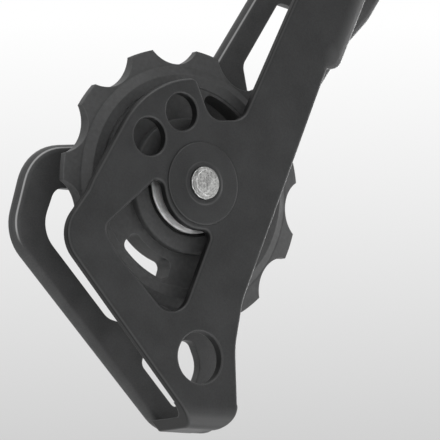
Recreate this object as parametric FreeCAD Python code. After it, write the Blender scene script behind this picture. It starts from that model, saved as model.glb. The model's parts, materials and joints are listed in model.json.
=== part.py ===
import FreeCAD, Part
import math
import os

from FreeCAD import Placement, Rotation, Vector

# Rear derailleur of a bicycle with a long riveted chain cage, in millimetres.
# Origin on the hanger bolt's axis at the face that seats on the hanger.
# +X forwards, +Z up, +Y inboard, so the drive side looks along +Y.

# Clearances
RUN = 0.05
SLIP = 0.03
FACE_GAP = 0.3

# Hanger bolt, its stop plate and circlip
THREAD_R = 5.0
THREAD_LEN = 9.0
THREAD_RELIEF = 0.2
SHANK_R = 5.6
BOLT_HEAD_R = 8.2
BOLT_HEAD_T = 2.8
HEX_KEY = 5.0
HEX_DEPTH = 3.2
STOP_PLATE_R = 11.5
STOP_PLATE_T = 2.5
CIRCLIP_T = 1.0
CIRCLIP_R = 6.9
CIRCLIP_GROOVE = 0.6

# Mounting knuckle
KNUCKLE_R = 12.5
KNUCKLE_LEN = 18.6
BUSH_WALL = 0.95
SPRING_BAY_R = 11.3
SPRING_BAY_WALL = 0.9
SPRING_BAY_DEPTH = 8.0
KNUCKLE_TO_LINK_A = -4.0
KNUCKLE_TO_LINK_N = 26.0

# Parallelogram
LINK_SLOPE = 42.0
LINK_LEN = 36.0
LINK_REST = -20.0
LINK_SPACING = 11.5
INNER_PIN_Y = -8.0
PIN_R = 2.0
PIN_HEAD_R = 2.8
PIN_HEAD_T = 1.0
TONGUE_HALF = 8.0
TONGUE_NOSE = 4.3
EAR_T = 2.0
EAR_NOSE = 4.5
WEB_GAP = 5.6
WEB_T = 2.0
HOOK_SLOT = 1.8

# Screws
LIMIT_SCREW_R = 1.5
SCREW_HEAD_R = 2.7
SCREW_HEAD_T = 1.8
LIMIT_SCREW_LEN = 8.1
LIMIT_SCREW_SPACING = 5.7
TENSION_SCREW_LEN = 11.5

# Barrel adjuster
BARREL_R = 4.7
BARREL_LEN = 11.0
BARREL_THREAD_R = 2.9
BARREL_THREAD_LEN = 8.0
SOCKET_R = 2.6
SOCKET_DEPTH = 8.0
CABLE_R = 0.9
BARREL_RIBS = 12
BOSS_R = 5.4
BOSS_LEN = 11.5
BOSS_N = -13.4
BOSS_Y = -14.0

# Cable clamp on the outer link
CLAMP_A = 0.53 * LINK_LEN
CLAMP_N = -16.0
CLAMP_BOLT_R = 2.45
CLAMP_HEX = 8.0
CLAMP_LUG_T = 3.0
CLAMP_PLATE_T = 1.2

# Cage knuckle
PIVOT_A = 18.5
PIVOT_N = -2.0
PIVOT_R = 13.0
PIVOT_INNER_Y = 5.4
PIVOT_OUTER_Y = -13.0
AXLE_R = 4.5
CAGE_BAY_R = 11.0
CAGE_BAY_WALL = 1.4
CAGE_BAY_DEPTH = 12.0

# Chain cage, seen square on: u forwards, v up, w outboard from the chain line
CHAIN_LINE_Y = 12.0
GUIDE_U = 42.5
GUIDE_V = 73.0
PIVOT_U = 58.0
PIVOT_V = 76.0
PLATE_T = 1.6
OUTER_FACE_W = 6.17
INNER_FACE_W = -4.4
EDGE_R = 0.55
BACK_EDGE_R = 0.4
GUARD_EDGE_R = 1.2
RIVET_R = 2.45
RIVET_PROUD = 0.5
RIVET_SINK = 0.5
AXLE_SHAFT_R = 2.25
BOSS_R = 6.0
BOSS_SINK = 0.15

# Pulleys
TEETH = 11
TIP_R = 21.4
VALLEY_R = 18.85
VALLEY_CURVE = 4.8
ROOT_HALF_T = 1.1
TIP_HALF_T = 0.55
RIM_IN_R = 15.6
RIM_OUT_R = 17.2
RIM_HALF_T = 2.0
RIM_BEVEL = 1.4
WEB_HALF_T = 1.75
HUB_R = 10.35
HUB_HALF_T = 2.3
CAP_SEAT_R = 7.55
CAP_R = 7.4
CAP_T = 0.45
CAP_SEAT_DEPTH = 0.6
CAP_TOP = 3.95
BUSH_R = 4.0
TOOTH_PHASE = 110.1
WINDOWS = 2
WINDOW_IN_R = 11.9
WINDOW_OUT_R = 15.1
WINDOW_HALF_ANGLE = 18.8
WINDOW_CORNER = 1.1
WINDOW_PHASE = -122.3

# Places that follow from the sizes above
KNUCKLE_INNER_Y = -STOP_PLATE_T - FACE_GAP
KNUCKLE_OUTER_Y = KNUCKLE_INNER_Y - KNUCKLE_LEN
OUTER_PIN_Y = INNER_PIN_Y - LINK_SPACING
SLOPE = math.radians(LINK_SLOPE)
REST = math.radians(LINK_REST)
ALONG = Vector(math.cos(SLOPE), 0, -math.sin(SLOPE))
ACROSS = Vector(math.sin(SLOPE), 0, math.cos(SLOPE))
UPPER_PINS = ALONG * -KNUCKLE_TO_LINK_A - ACROSS * KNUCKLE_TO_LINK_N
LINK_RUN = LINK_LEN * math.cos(REST)
LINK_DROP = LINK_LEN * math.sin(REST)
LOWER_PINS = UPPER_PINS + ALONG * LINK_RUN
PIVOT = LOWER_PINS + ALONG * PIVOT_A + ACROSS * PIVOT_N
TENSION = Vector(PIVOT.x - PIVOT_U, CHAIN_LINE_Y, PIVOT.z - PIVOT_V)

LINK_FRAME = Placement(UPPER_PINS, Rotation(Vector(0, 1, 0), LINK_SLOPE))
LOWER_FRAME = Placement(LOWER_PINS, Rotation(Vector(0, 1, 0), LINK_SLOPE))
CAGE_FRAME = Placement(TENSION, Rotation(Vector(1, 0, 0), 90))


def placed(shape, frame):
    """Copy of a shape moved from its own frame into the derailleur's."""
    return shape.transformed(frame.toMatrix(), True)


def rounded_wire(corners):
    """Closed flat outline through (x, y, radius) corners, each with its own rounding."""
    points = [Vector(x, y, 0) for x, y, _ in corners]
    count = len(points)
    arcs = []
    for index, (_, _, radius) in enumerate(corners):
        here = points[index]
        back = (points[index - 1] - here).normalize()
        ahead = (points[(index + 1) % count] - here).normalize()
        half = back.getAngle(ahead) / 2
        reach = radius / math.tan(half)
        middle = here + (back + ahead).normalize() * (radius / math.sin(half) - radius)
        arcs.append((here + back * reach, middle, here + ahead * reach, radius))
    edges = []
    for index, (start, middle, end, radius) in enumerate(arcs):
        if radius > 0:
            edges.append(Part.Arc(start, middle, end).toShape())
        following = arcs[(index + 1) % count][0]
        if (following - end).Length > 1e-6:
            edges.append(Part.LineSegment(end, following).toShape())
    return Part.Wire(edges)


def slab(corners, low, high):
    """Rounded outline made solid between two heights."""
    face = Part.Face(rounded_wire(corners))
    face.translate(Vector(0, 0, low))
    return face.extrude(Vector(0, 0, high - low))


def across_slab(corners, low, high):
    """Rounded outline in the x, y plane of a link frame, from low to high along its z."""
    return slab(corners, low, high)


def lengthwise_slab(corners, low, high):
    """Outline given as (x, z, radius), made solid from low to high along y."""
    flipped = [(x, -z, radius) for x, z, radius in corners]
    body = slab(flipped, low, high)
    return placed(body, Placement(Vector(), Rotation(Vector(1, 0, 0), -90)))


def disc(radius, low, high, x=0.0, y=0.0):
    """Cylinder along z."""
    return Part.makeCylinder(radius, high - low, Vector(x, y, low))


def tube(outer, inner, low, high, x=0.0, y=0.0):
    """Plain ring along z."""
    return disc(outer, low, high, x, y).cut(disc(inner, low - 1, high + 1, x, y))


def y_rod(radius, low, high, x=0.0, z=0.0):
    """Cylinder along y."""
    return Part.makeCylinder(radius, high - low, Vector(x, low, z), Vector(0, 1, 0))


def turned(profile, axis):
    """Solid turned from a closed (radius, height) profile about the z or y axis."""
    if axis == "y":
        points = [Vector(radius, height, 0) for radius, height in profile]
        direction = Vector(0, 1, 0)
    else:
        points = [Vector(radius, 0, height) for radius, height in profile]
        direction = Vector(0, 0, 1)
    face = Part.Face(Part.makePolygon(points + points[:1]))
    return face.revolve(Vector(), direction, 360)


def hexagon(across_flats, low, high, x=0.0, y=0.0):
    """Six-sided prism along z."""
    corner = across_flats / math.sqrt(3)
    points = []
    for step in range(6):
        angle = math.radians(60 * step)
        points.append(Vector(x + corner * math.cos(angle), y + corner * math.sin(angle), low))
    face = Part.Face(Part.makePolygon(points + points[:1]))
    return face.extrude(Vector(0, 0, high - low))


def eased(body, radius, picks):
    """Fillet the edges for which picks(edge) is true."""
    edges = [edge for edge in body.Edges if picks(edge)]
    return body.makeFillet(radius, edges)


def at_height(height):
    """Picker for the edges that lie wholly at one z."""
    def picks(edge):
        box = edge.BoundBox
        return abs(box.ZMin - height) < 1e-4 and abs(box.ZMax - height) < 1e-4
    return picks


def on_bend(edge, radius):
    """Whether an edge lies along the outside of the foot's bend and its flat bottom."""
    level = BEND_V + BEND_R
    middle = edge.valueAt((edge.FirstParameter + edge.LastParameter) / 2)
    box = edge.BoundBox
    across = box.ZLength > 0.5
    drop = level - middle.y
    back = middle.z - (OUTER_FACE_W - BEND_R)
    on_arc = back > 0 and abs(math.hypot(drop, back) - radius) < 0.02
    on_floor = back <= 0 and abs(drop - radius) < 0.02
    return across and (on_arc or on_floor)


def coil(radius, wire, pitch, turns):
    """Round wire wound about z from z = 0."""
    helix = Part.Wire(Part.makeHelix(pitch, pitch * turns, radius))
    section = Part.Wire(Part.Circle(Vector(radius, 0, 0), Vector(0, 1, 0), wire).toShape())
    return helix.makePipeShell([section], True, True)


def single(shape):
    """The one solid of a boolean result, its seams merged."""
    return shape.removeSplitter().Solids[0]


# Hanger side
def hanger_bolt():
    """Shouldered bolt with a hexagon socket in its outboard head."""
    groove_in = -STOP_PLATE_T - FACE_GAP
    groove_out = groove_in - CIRCLIP_T
    head_in = KNUCKLE_OUTER_Y - RUN
    head_out = head_in - BOLT_HEAD_T
    chamfer = 0.8
    profile = [
        (0, head_out), (BOLT_HEAD_R - chamfer, head_out), (BOLT_HEAD_R, head_out + chamfer),
        (BOLT_HEAD_R, head_in), (SHANK_R, head_in), (SHANK_R, groove_out),
        (SHANK_R - CIRCLIP_GROOVE, groove_out), (SHANK_R - CIRCLIP_GROOVE, groove_in),
        (THREAD_R - THREAD_RELIEF, groove_in), (THREAD_R - THREAD_RELIEF, 0), (THREAD_R, 0),
        (THREAD_R, THREAD_LEN - chamfer),
        (THREAD_R - chamfer, THREAD_LEN), (0, THREAD_LEN),
    ]
    body = turned(profile, "y")
    socket = placed(hexagon(HEX_KEY, 0, HEX_DEPTH),
                    Placement(Vector(0, head_out, 0), Rotation(Vector(1, 0, 0), -90)))
    return single(body.cut(socket))


def hanger_circlip():
    """Open spring ring in the bolt's groove."""
    inner = -STOP_PLATE_T - FACE_GAP - RUN
    ring = y_rod(CIRCLIP_R, inner - CIRCLIP_T + 2 * RUN, inner)
    ring = ring.cut(y_rod(SHANK_R - CIRCLIP_GROOVE + SLIP, inner - 5, inner + 5))
    mouth = Part.makeBox(6, 10, 10, Vector(-3, inner - 5, -10))
    return single(ring.cut(mouth))


STOP_TAB_R = 16.0
STOP_TAB_TURN = 60.0


def to_stop(shape):
    """Turn a shape modelled behind the hanger bolt up to the stop tab's place."""
    return placed(shape, Placement(Vector(), Rotation(Vector(0, 1, 0), STOP_TAB_TURN)))


def stop_plate():
    """Plate behind the knuckle: folded tab for the screw, hook for the hanger."""
    ring = y_rod(STOP_PLATE_R, -STOP_PLATE_T, 0)
    tab_t = 2.4
    tab_top = 1.0
    arm_far = STOP_TAB_R + 3.0
    arm = Part.makeBox(arm_far, STOP_PLATE_T, 7.5, Vector(-arm_far, -STOP_PLATE_T, tab_top - 7.5))
    tab = Part.makeBox(arm_far - KNUCKLE_R - 0.6, 11.0, tab_t,
                       Vector(-arm_far, -11.0, tab_top - tab_t))
    tab = tab.makeFillet(0.8, [edge for edge in tab.Edges if edge.BoundBox.YLength < 1e-6
                               and edge.BoundBox.YMax < -10 and edge.BoundBox.XLength < 1e-6])
    hook = Part.makeBox(3.0, 3.2, 5.0, Vector(-STOP_PLATE_R, -STOP_PLATE_T, -2.5))
    hook = placed(hook, Placement(Vector(), Rotation(Vector(0, 1, 0), -55)))
    hook = hook.fuse(placed(Part.makeBox(2.4, 3.4, 5.0, Vector(-STOP_PLATE_R, 0, -2.5)),
                            Placement(Vector(), Rotation(Vector(0, 1, 0), -55))))
    body = ring.fuse([to_stop(arm.fuse(tab)), hook])
    return single(body.cut(y_rod(THREAD_R + FACE_GAP, -STOP_PLATE_T - 1, 4)))


# Mounting knuckle
def knuckle_bush():
    """Plain sleeve between bolt and knuckle."""
    low = KNUCKLE_OUTER_Y + 0.4
    high = KNUCKLE_INNER_Y - CIRCLIP_T - 0.5
    body = y_rod(SHANK_R + RUN + BUSH_WALL, low, high)
    return single(body.cut(y_rod(SHANK_R + RUN, low - 1, high + 1)))


def upper_tongue():
    """Block between the links' ears, round about each of the two upper pins."""
    nose = TONGUE_NOSE
    corners = [
        (nose, OUTER_PIN_Y - nose, nose), (nose, INNER_PIN_Y + nose, nose),
        (-12.5, INNER_PIN_Y + nose, 2.0), (-12.5, OUTER_PIN_Y - nose, 2.0),
    ]
    return across_slab(corners, -TONGUE_HALF, TONGUE_HALF)


def upper_arm():
    """Web that carries the tongue behind the links, up to the bolt housing."""
    centre_a = KNUCKLE_TO_LINK_A
    centre_n = KNUCKLE_TO_LINK_N
    corners = [
        (-12.5, -TONGUE_HALF, 3.0), (-5.3, -TONGUE_HALF, 1.0), (-5.3, 11.5, 4.0),
        (5.0, 18.0, 1.0), (centre_a, centre_n, 1.0),
        (centre_a - KNUCKLE_R + 0.2, centre_n, 1.0),
        (centre_a - KNUCKLE_R + 0.2, 14.0, 10.0),
    ]
    body = lengthwise_slab(corners, KNUCKLE_OUTER_Y + 0.5, INNER_PIN_Y + 2.6)
    low = body.BoundBox.YMin
    rim = [edge for edge in body.Edges
           if abs(edge.BoundBox.YMin - low) < 1e-4 and abs(edge.BoundBox.YMax - low) < 1e-4]
    return body.makeFillet(1.2, rim)


def barrel_boss():
    """Threaded boss for the barrel adjuster, with the foot that joins it to the arm."""
    far = -5.3 - BOSS_LEN
    rod = Part.makeCylinder(BOSS_R, BOSS_LEN, Vector(far, BOSS_Y, BOSS_N), Vector(1, 0, 0))
    foot = Part.makeBox(7.2, 9.0, 8.0, Vector(-12.5, BOSS_Y - 4.5, BOSS_N + 0.4))
    body = rod.fuse(foot)
    thread = BARREL_THREAD_R + RUN
    bore = Part.makeCylinder(thread, BOSS_LEN - 2.5, Vector(far, BOSS_Y, BOSS_N), Vector(1, 0, 0))
    wire = Part.makeCylinder(CABLE_R, BOSS_LEN + 2, Vector(far, BOSS_Y, BOSS_N), Vector(1, 0, 0))
    return body, bore.fuse(wire)


def screw_axes():
    """Seats of the two limit screws in the link frame, each aimed at a link's upper ear."""
    middle = (INNER_PIN_Y + OUTER_PIN_Y) / 2
    half = LIMIT_SCREW_SPACING / 2
    height = TONGUE_HALF + FACE_GAP + EAR_T / 2
    return [Vector(-12.5, middle + half, height), Vector(-12.5, middle - half, height)]


def pin_bores(radius, y_values):
    """Bores along z for link pins at the given y places."""
    reach = TONGUE_HALF + 6
    return [disc(radius, -reach, reach, 0, y) for y in y_values]


def hook_slot(y, forwards):
    """Room round a pin for the return spring's hook, open towards the spring."""
    half = HOOK_SLOT / 2
    ring = disc(3.6, -half, half, 0, y)
    mouth = Part.makeBox(7, 7.2, HOOK_SLOT, Vector(0 if forwards else -7, y - 3.6, -half))
    return ring.fuse(mouth)


def tension_screw_lug():
    """Lug on the housing that carries the angle screw."""
    lug = Part.makeBox(9.0, 9.0, 6.0, Vector(-STOP_TAB_R - 3.0, -13.2, 4.6))
    upright = [edge for edge in lug.Edges
               if edge.BoundBox.ZLength > 5 and edge.BoundBox.XMax < -STOP_TAB_R]
    lug = lug.makeFillet(2.6, upright)
    bore = Part.makeCylinder(LIMIT_SCREW_R + SLIP, 20, Vector(-STOP_TAB_R, -8.2, 0))
    return to_stop(lug), to_stop(bore)


def mounting_knuckle():
    """Cast knuckle: bolt housing, arm, tongue, barrel boss and screw lugs."""
    housing = y_rod(KNUCKLE_R, KNUCKLE_OUTER_Y, KNUCKLE_INNER_Y)
    rim = [edge for edge in housing.Edges if edge.BoundBox.YMax < KNUCKLE_OUTER_Y + 0.1]
    housing = housing.makeFillet(1.6, rim)
    boss, boss_bore = barrel_boss()
    lug, lug_bore = tension_screw_lug()
    arm = upper_tongue().fuse([upper_arm(), boss])
    body = housing.fuse([placed(arm, LINK_FRAME), lug])
    bush_r = SHANK_R + RUN + BUSH_WALL + SLIP
    cuts = [y_rod(bush_r, KNUCKLE_OUTER_Y - 1, 0)]
    cuts.append(y_rod(CIRCLIP_R + FACE_GAP, KNUCKLE_INNER_Y - CIRCLIP_T - 0.2, 0))
    bay_in = CIRCLIP_R + FACE_GAP + SPRING_BAY_WALL
    bay = y_rod(SPRING_BAY_R, KNUCKLE_INNER_Y - SPRING_BAY_DEPTH, 0)
    cuts.append(bay.cut(y_rod(bay_in, KNUCKLE_INNER_Y - SPRING_BAY_DEPTH - 1, 1)))
    local = pin_bores(PIN_R + SLIP, (INNER_PIN_Y, OUTER_PIN_Y))
    local.append(hook_slot(OUTER_PIN_Y, True))
    local.append(boss_bore)
    for start in screw_axes():
        local.append(Part.makeCylinder(LIMIT_SCREW_R + SLIP, LIMIT_SCREW_LEN + 0.5, start,
                                       Vector(1, 0, 0)))
        local.append(Part.makeCylinder(SCREW_HEAD_R + FACE_GAP, 8, start, Vector(-1, 0, 0)))
    cuts.extend(placed(shape, LINK_FRAME) for shape in local)
    cuts.append(lug_bore)
    return single(body.cut(cuts))


def knuckle_spring():
    """Torsion spring of the mounting knuckle."""
    wire = 0.95
    bay_in = CIRCLIP_R + FACE_GAP + SPRING_BAY_WALL
    radius = (bay_in + SPRING_BAY_R) / 2
    body = coil(radius, wire, 2.1, 2.5)
    low = KNUCKLE_INNER_Y - SPRING_BAY_DEPTH + wire + 0.1
    return placed(body, Placement(Vector(0, low, 0), Rotation(Vector(1, 0, 0), -90)))


def cross_head_screw(length, cross=True):
    """Screw along +x with its head's seat at the origin and the head behind it."""
    chamfer = 0.4
    profile = [
        (0, -SCREW_HEAD_T), (SCREW_HEAD_R - chamfer, -SCREW_HEAD_T),
        (SCREW_HEAD_R, -SCREW_HEAD_T + chamfer), (SCREW_HEAD_R, 0), (LIMIT_SCREW_R, 0),
        (LIMIT_SCREW_R, length - chamfer), (LIMIT_SCREW_R - chamfer, length), (0, length),
    ]
    body = turned(profile, "z")
    slot = Part.makeBox(3.2, 0.8, 1.2, Vector(-1.6, -0.4, -SCREW_HEAD_T))
    slots = slot
    if cross:
        slots = slot.fuse(Part.makeBox(0.8, 3.2, 1.2, Vector(-0.4, -1.6, -SCREW_HEAD_T)))
    return placed(single(body.cut(slots)), Placement(Vector(), Rotation(Vector(0, 1, 0), 90)))


def limit_screw(index):
    """One of the two stop screws of the parallelogram."""
    start = screw_axes()[index]
    seat = start + Vector(-FACE_GAP, 0, 0)
    body = cross_head_screw(LIMIT_SCREW_LEN)
    return placed(placed(body, Placement(seat, Rotation())), LINK_FRAME)


def angle_screw():
    """Screw that sets the derailleur's angle against the stop tab."""
    body = placed(cross_head_screw(TENSION_SCREW_LEN),
                  Placement(Vector(), Rotation(Vector(0, 1, 0), 90)))
    seat = Vector(-STOP_TAB_R, -8.2, 1.05 + TENSION_SCREW_LEN)
    return to_stop(placed(body, Placement(seat, Rotation())))


def barrel_adjuster():
    """Ribbed thumb barrel with its thread and the housing's socket."""
    far = -5.3 - BOSS_LEN
    gap = 3.0
    profile = [
        (0, gap), (BARREL_R - 0.8, gap), (BARREL_R, gap + 0.8),
        (BARREL_R, BARREL_LEN + gap - 1.2), (BARREL_R - 1.2, BARREL_LEN + gap),
        (0, BARREL_LEN + gap),
    ]
    body = turned(profile, "z")
    body = body.fuse(disc(BARREL_THREAD_R, -BARREL_THREAD_LEN, gap + 0.5))
    groove = disc(0.55, gap + 1.4, BARREL_LEN + gap - 1.4, BARREL_R + 0.15)
    grooves = []
    for step in range(BARREL_RIBS):
        turn = Rotation(Vector(0, 0, 1), 360.0 * step / BARREL_RIBS)
        grooves.append(placed(groove, Placement(Vector(), turn)))
    grooves.append(disc(SOCKET_R, BARREL_LEN + gap - SOCKET_DEPTH, BARREL_LEN + gap + 1))
    grooves.append(disc(CABLE_R, -BARREL_THREAD_LEN - 1, BARREL_LEN + gap))
    body = single(body.cut(grooves))
    frame = Placement(Vector(far, BOSS_Y, BOSS_N), Rotation(Vector(0, 1, 0), -90))
    return placed(placed(body, frame), LINK_FRAME)


def barrel_spring():
    """Small spring that keeps the barrel from turning by itself."""
    far = -5.3 - BOSS_LEN
    wire = 0.45
    body = coil(BARREL_THREAD_R + 0.65, wire, 1.1, 1.5)
    frame = Placement(Vector(far - wire - 0.05, BOSS_Y, BOSS_N), Rotation(Vector(0, 1, 0), -90))
    return placed(placed(body, frame), LINK_FRAME)


# Parallelogram
def link_ear(side):
    """Side wall of a link, waisted between its two pin eyes. side is the web's side."""
    nose = EAR_NOSE
    back = WEB_GAP + WEB_T
    corners = [
        (-nose, side * -nose, nose), (8.5, side * -nose, 3.0), (12.0, 0.0, 4.0),
        (LINK_LEN - 12.0, 0.0, 4.0), (LINK_LEN - 8.5, side * -nose, 3.0),
        (LINK_LEN + nose, side * -nose, nose), (LINK_LEN + nose, side * nose, nose),
        (LINK_LEN, side * nose, 0), (LINK_LEN, side * back, 1.5), (0.0, side * back, 1.5),
        (0.0, side * nose, 0), (-nose, side * nose, nose),
    ]
    low = TONGUE_HALF + FACE_GAP
    return slab(corners, low, low + EAR_T)


def link_body(side):
    """Channel link: web on one side, an ear along each edge."""
    ear = link_ear(side)
    half = TONGUE_HALF + FACE_GAP + EAR_T
    near = side * WEB_GAP
    far = side * (WEB_GAP + WEB_T)
    outline = [
        (0.0, -half, 2.5), (LINK_LEN, -half, 2.5), (LINK_LEN, half, 2.5), (0.0, half, 2.5),
    ]
    web = lengthwise_slab(outline, min(near, far), max(near, far))
    crown = lengthwise_slab([
        (2.5, -half + 2.4, 5.0), (LINK_LEN - 2.5, -half + 2.4, 5.0),
        (LINK_LEN - 2.5, half - 2.4, 5.0), (2.5, half - 2.4, 5.0),
    ], min(far, far + side * 0.7), max(far, far + side * 0.7))
    other = ear.mirror(Vector(), Vector(0, 0, 1))
    body = web.fuse([ear, other, crown])
    reach = half + 1
    bores = [disc(PIN_R + RUN, -reach, reach), disc(PIN_R + RUN, -reach, reach, LINK_LEN)]
    return body.cut(bores)


def link_frame(pin_y):
    """Frame of a link at rest: origin at its upper pin, x towards its lower pin."""
    place = UPPER_PINS + Vector(0, pin_y, 0)
    tilt = Rotation(Vector(0, 1, 0), LINK_SLOPE).multiply(Rotation(Vector(0, 0, 1), LINK_REST))
    return Placement(place, tilt)


def clamp_lug():
    """Lug of the outer link that the cable is clamped to."""
    top = -WEB_GAP - WEB_T + CLAMP_LUG_T
    half = TONGUE_HALF + FACE_GAP
    corners = [
        (CLAMP_A - 9, -half, 1.0), (CLAMP_A + 9, -half, 1.0),
        (CLAMP_A + 5.5, CLAMP_N - 5.0, 4.0), (CLAMP_A - 5.5, CLAMP_N - 5.0, 4.0),
    ]
    lug = lengthwise_slab(corners, -WEB_GAP - WEB_T, top)
    bore = y_rod(CLAMP_BOLT_R + SLIP, -20, 20, CLAMP_A, CLAMP_N)
    return lug, bore


def outer_link():
    """Outboard link with the cable clamp's lug."""
    lug, bore = clamp_lug()
    body = link_body(-1).fuse(lug).cut(bore)
    return placed(single(body), link_frame(OUTER_PIN_Y))


def inner_link():
    """Inboard link."""
    return placed(single(link_body(1)), link_frame(INNER_PIN_Y))


def clamp_plate():
    """Pressed washer over the cable, with the turned-down lip that stops it turning."""
    face = -WEB_GAP - WEB_T - RUN
    outline = [
        (CLAMP_A - 5.0, CLAMP_N - 4.8, 1.5), (CLAMP_A + 5.0, CLAMP_N - 4.8, 1.5),
        (CLAMP_A + 5.0, CLAMP_N + 4.8, 1.5), (CLAMP_A - 5.0, CLAMP_N + 4.8, 1.5),
    ]
    body = lengthwise_slab(outline, face - CLAMP_PLATE_T, face)
    groove = Part.makeCylinder(CABLE_R, 14, Vector(CLAMP_A - 7, face, CLAMP_N + 3.4),
                               Vector(1, 0, 0))
    body = body.cut([groove, y_rod(CLAMP_BOLT_R + 0.1, -20, 20, CLAMP_A, CLAMP_N)])
    return placed(single(body), link_frame(OUTER_PIN_Y))


def clamp_bolt():
    """Flanged hexagon bolt of the cable clamp."""
    seat = -WEB_GAP - WEB_T - 2 * RUN - CLAMP_PLATE_T
    head = hexagon(CLAMP_HEX, 0.9, 4.4)
    crown = turned([(0, 0.9), (CLAMP_HEX / 2, 0.9), (CLAMP_HEX / 2 + 0.7, 1.6),
                    (CLAMP_HEX / 2 + 0.7, 3.6), (CLAMP_HEX / 2 - 0.2, 4.4), (0, 4.4)], "z")
    body = head.common(crown).fuse([disc(CLAMP_HEX / 2 + 0.4, 0, 0.9), disc(CLAMP_BOLT_R, -7.5, 0)])
    frame = Placement(Vector(CLAMP_A, seat, CLAMP_N), Rotation(Vector(1, 0, 0), 90))
    return placed(placed(single(body), frame), link_frame(OUTER_PIN_Y))


def link_pins(y_values, frame):
    """Two headed pins held in a knuckle's tongue."""
    seat = TONGUE_HALF + FACE_GAP + EAR_T + RUN
    pins = []
    for y in y_values:
        low = disc(PIN_HEAD_R, -seat - PIN_HEAD_T, -seat, 0, y)
        high = disc(PIN_HEAD_R, seat, seat + PIN_HEAD_T, 0, y)
        shaft = disc(PIN_R, -seat, seat, 0, y)
        pins.append(placed(single(shaft.fuse([low, high])), frame))
    return Part.makeCompound(pins)


def return_spring():
    """Extension spring across the parallelogram, a hook round a pin at each end."""
    start = Vector(0, OUTER_PIN_Y, 0)
    end = Vector(LINK_RUN, INNER_PIN_Y + LINK_DROP, 0)
    span = end - start
    wire = 0.7
    ring_r = PIN_R + 0.1 + wire
    turns = 12
    mean = 2.6
    lead = 6.2
    pitch = (span.Length - 2 * lead) / turns
    body = coil(mean, wire, pitch, turns)
    body.translate(Vector(0, 0, lead))
    tilt = Rotation(Vector(0, 0, 1), Vector(0, 0, 1))
    parts = [placed(body, Placement(Vector(), tilt))]
    for height, sense in ((0.0, 1), (span.Length, -1)):
        parts.append(Part.makeTorus(ring_r, wire, Vector(0, 0, height), Vector(0, 1, 0)))
        foot = Vector(0, 0, height + sense * ring_r)
        top = Vector(mean, 0, height + sense * lead)
        leg = top - foot
        parts.append(Part.makeCylinder(wire, leg.Length, foot, leg))
    whole = parts[0].fuse(parts[1:])
    turn = Rotation(Vector(0, 0, 1), span)
    spin = Rotation(Vector(0, 0, 1), 90)
    return placed(placed(whole.Solids[0], Placement(start, turn.multiply(spin))), LINK_FRAME)


# Cage knuckle
def lower_pin_ys():
    """Rest places along y of the two lower pins."""
    return (INNER_PIN_Y + LINK_DROP, OUTER_PIN_Y + LINK_DROP)


def lower_body():
    """Tapering body from the lower pins to the cage pivot's housing."""
    inner_y, outer_y = lower_pin_ys()
    nose = TONGUE_NOSE
    corners = [
        (-nose, outer_y - nose, nose), (-nose, inner_y + nose, nose),
        (5.6, inner_y + nose, 2.0), (6.4, PIVOT_OUTER_Y + 5.0, 1.0),
        (PIVOT_A + 9.0, PIVOT_OUTER_Y + 5.0, 1.0), (PIVOT_A + 9.5, PIVOT_OUTER_Y - 3.0, 4.0),
        (PIVOT_A, outer_y + 5.0, 9.0), (6.0, outer_y - nose, 7.0),
    ]
    body = across_slab(corners, -TONGUE_HALF, TONGUE_HALF)
    rims = [edge for edge in body.Edges
            if edge.BoundBox.ZLength < 1e-4 and edge.BoundBox.XMin > 5.5
            and edge.BoundBox.YMax < PIVOT_OUTER_Y - 2.0]
    return body.makeFillet(1.5, rims)


STOP_PIN_REACH = 15.6
STOP_PIN_R = 1.6
STOP_PIN_ANGLE = 226.0
STOP_LUG_R = 17.4


def stop_lug():
    """Lug beside the pivot housing that the cage's stop pin rests on."""
    half_pin = math.degrees(math.asin((STOP_PIN_R + SLIP) / STOP_PIN_REACH))
    face = STOP_PIN_ANGLE - half_pin
    width = 20.0
    lug = y_rod(STOP_LUG_R, -1.5, 4.2).cut(y_rod(PIVOT_R - 2.0, -2.5, 5.2))
    near = Vector(math.cos(math.radians(face)), 0, math.sin(math.radians(face)))
    far = Vector(math.cos(math.radians(face - width)), 0, math.sin(math.radians(face - width)))
    reach = 2 * STOP_LUG_R
    wedge = Part.Face(Part.makePolygon([
        Vector(0, -1.5, 0), near * reach + Vector(0, -1.5, 0),
        far * reach + Vector(0, -1.5, 0), Vector(0, -1.5, 0)]))
    return lug.common(wedge.extrude(Vector(0, 5.7, 0)))


def cage_knuckle():
    """Cast knuckle between the links and the chain cage."""
    housing = y_rod(PIVOT_R, PIVOT_OUTER_Y, PIVOT_INNER_Y)
    rim = [edge for edge in housing.Edges if edge.BoundBox.YMax < PIVOT_OUTER_Y + 0.1]
    housing = housing.makeFillet(1.4, rim).fuse(stop_lug())
    housing.translate(PIVOT)
    body = housing.fuse(placed(lower_body(), LOWER_FRAME))
    bay_low = PIVOT_INNER_Y - CAGE_BAY_DEPTH
    bay = y_rod(CAGE_BAY_R, bay_low, PIVOT_INNER_Y + 1)
    bay = bay.cut(y_rod(AXLE_R + CAGE_BAY_WALL, bay_low - 1, PIVOT_INNER_Y + 2))
    axle_bore = y_rod(AXLE_R + RUN, PIVOT_OUTER_Y + 1.5, PIVOT_INNER_Y + 1)
    seal = Part.makeTorus(SEAL_RING_R, SEAL_R + SLIP, Vector(0, SEAL_Y, 0), Vector(0, 1, 0))
    cuts = [bay, axle_bore, seal]
    for shape in cuts:
        shape.translate(PIVOT)
    local = pin_bores(PIN_R + SLIP, lower_pin_ys())
    local.append(hook_slot(lower_pin_ys()[0], False))
    cuts.extend(placed(shape, LOWER_FRAME) for shape in local)
    return single(body.cut(cuts))


OUTER_FACE_Y = CHAIN_LINE_Y - OUTER_FACE_W
SEAL_R = 0.5
SEAL_RING_R = (CAGE_BAY_R + PIVOT_R) / 2
SEAL_Y = OUTER_FACE_Y - SLIP - SEAL_R


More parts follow.
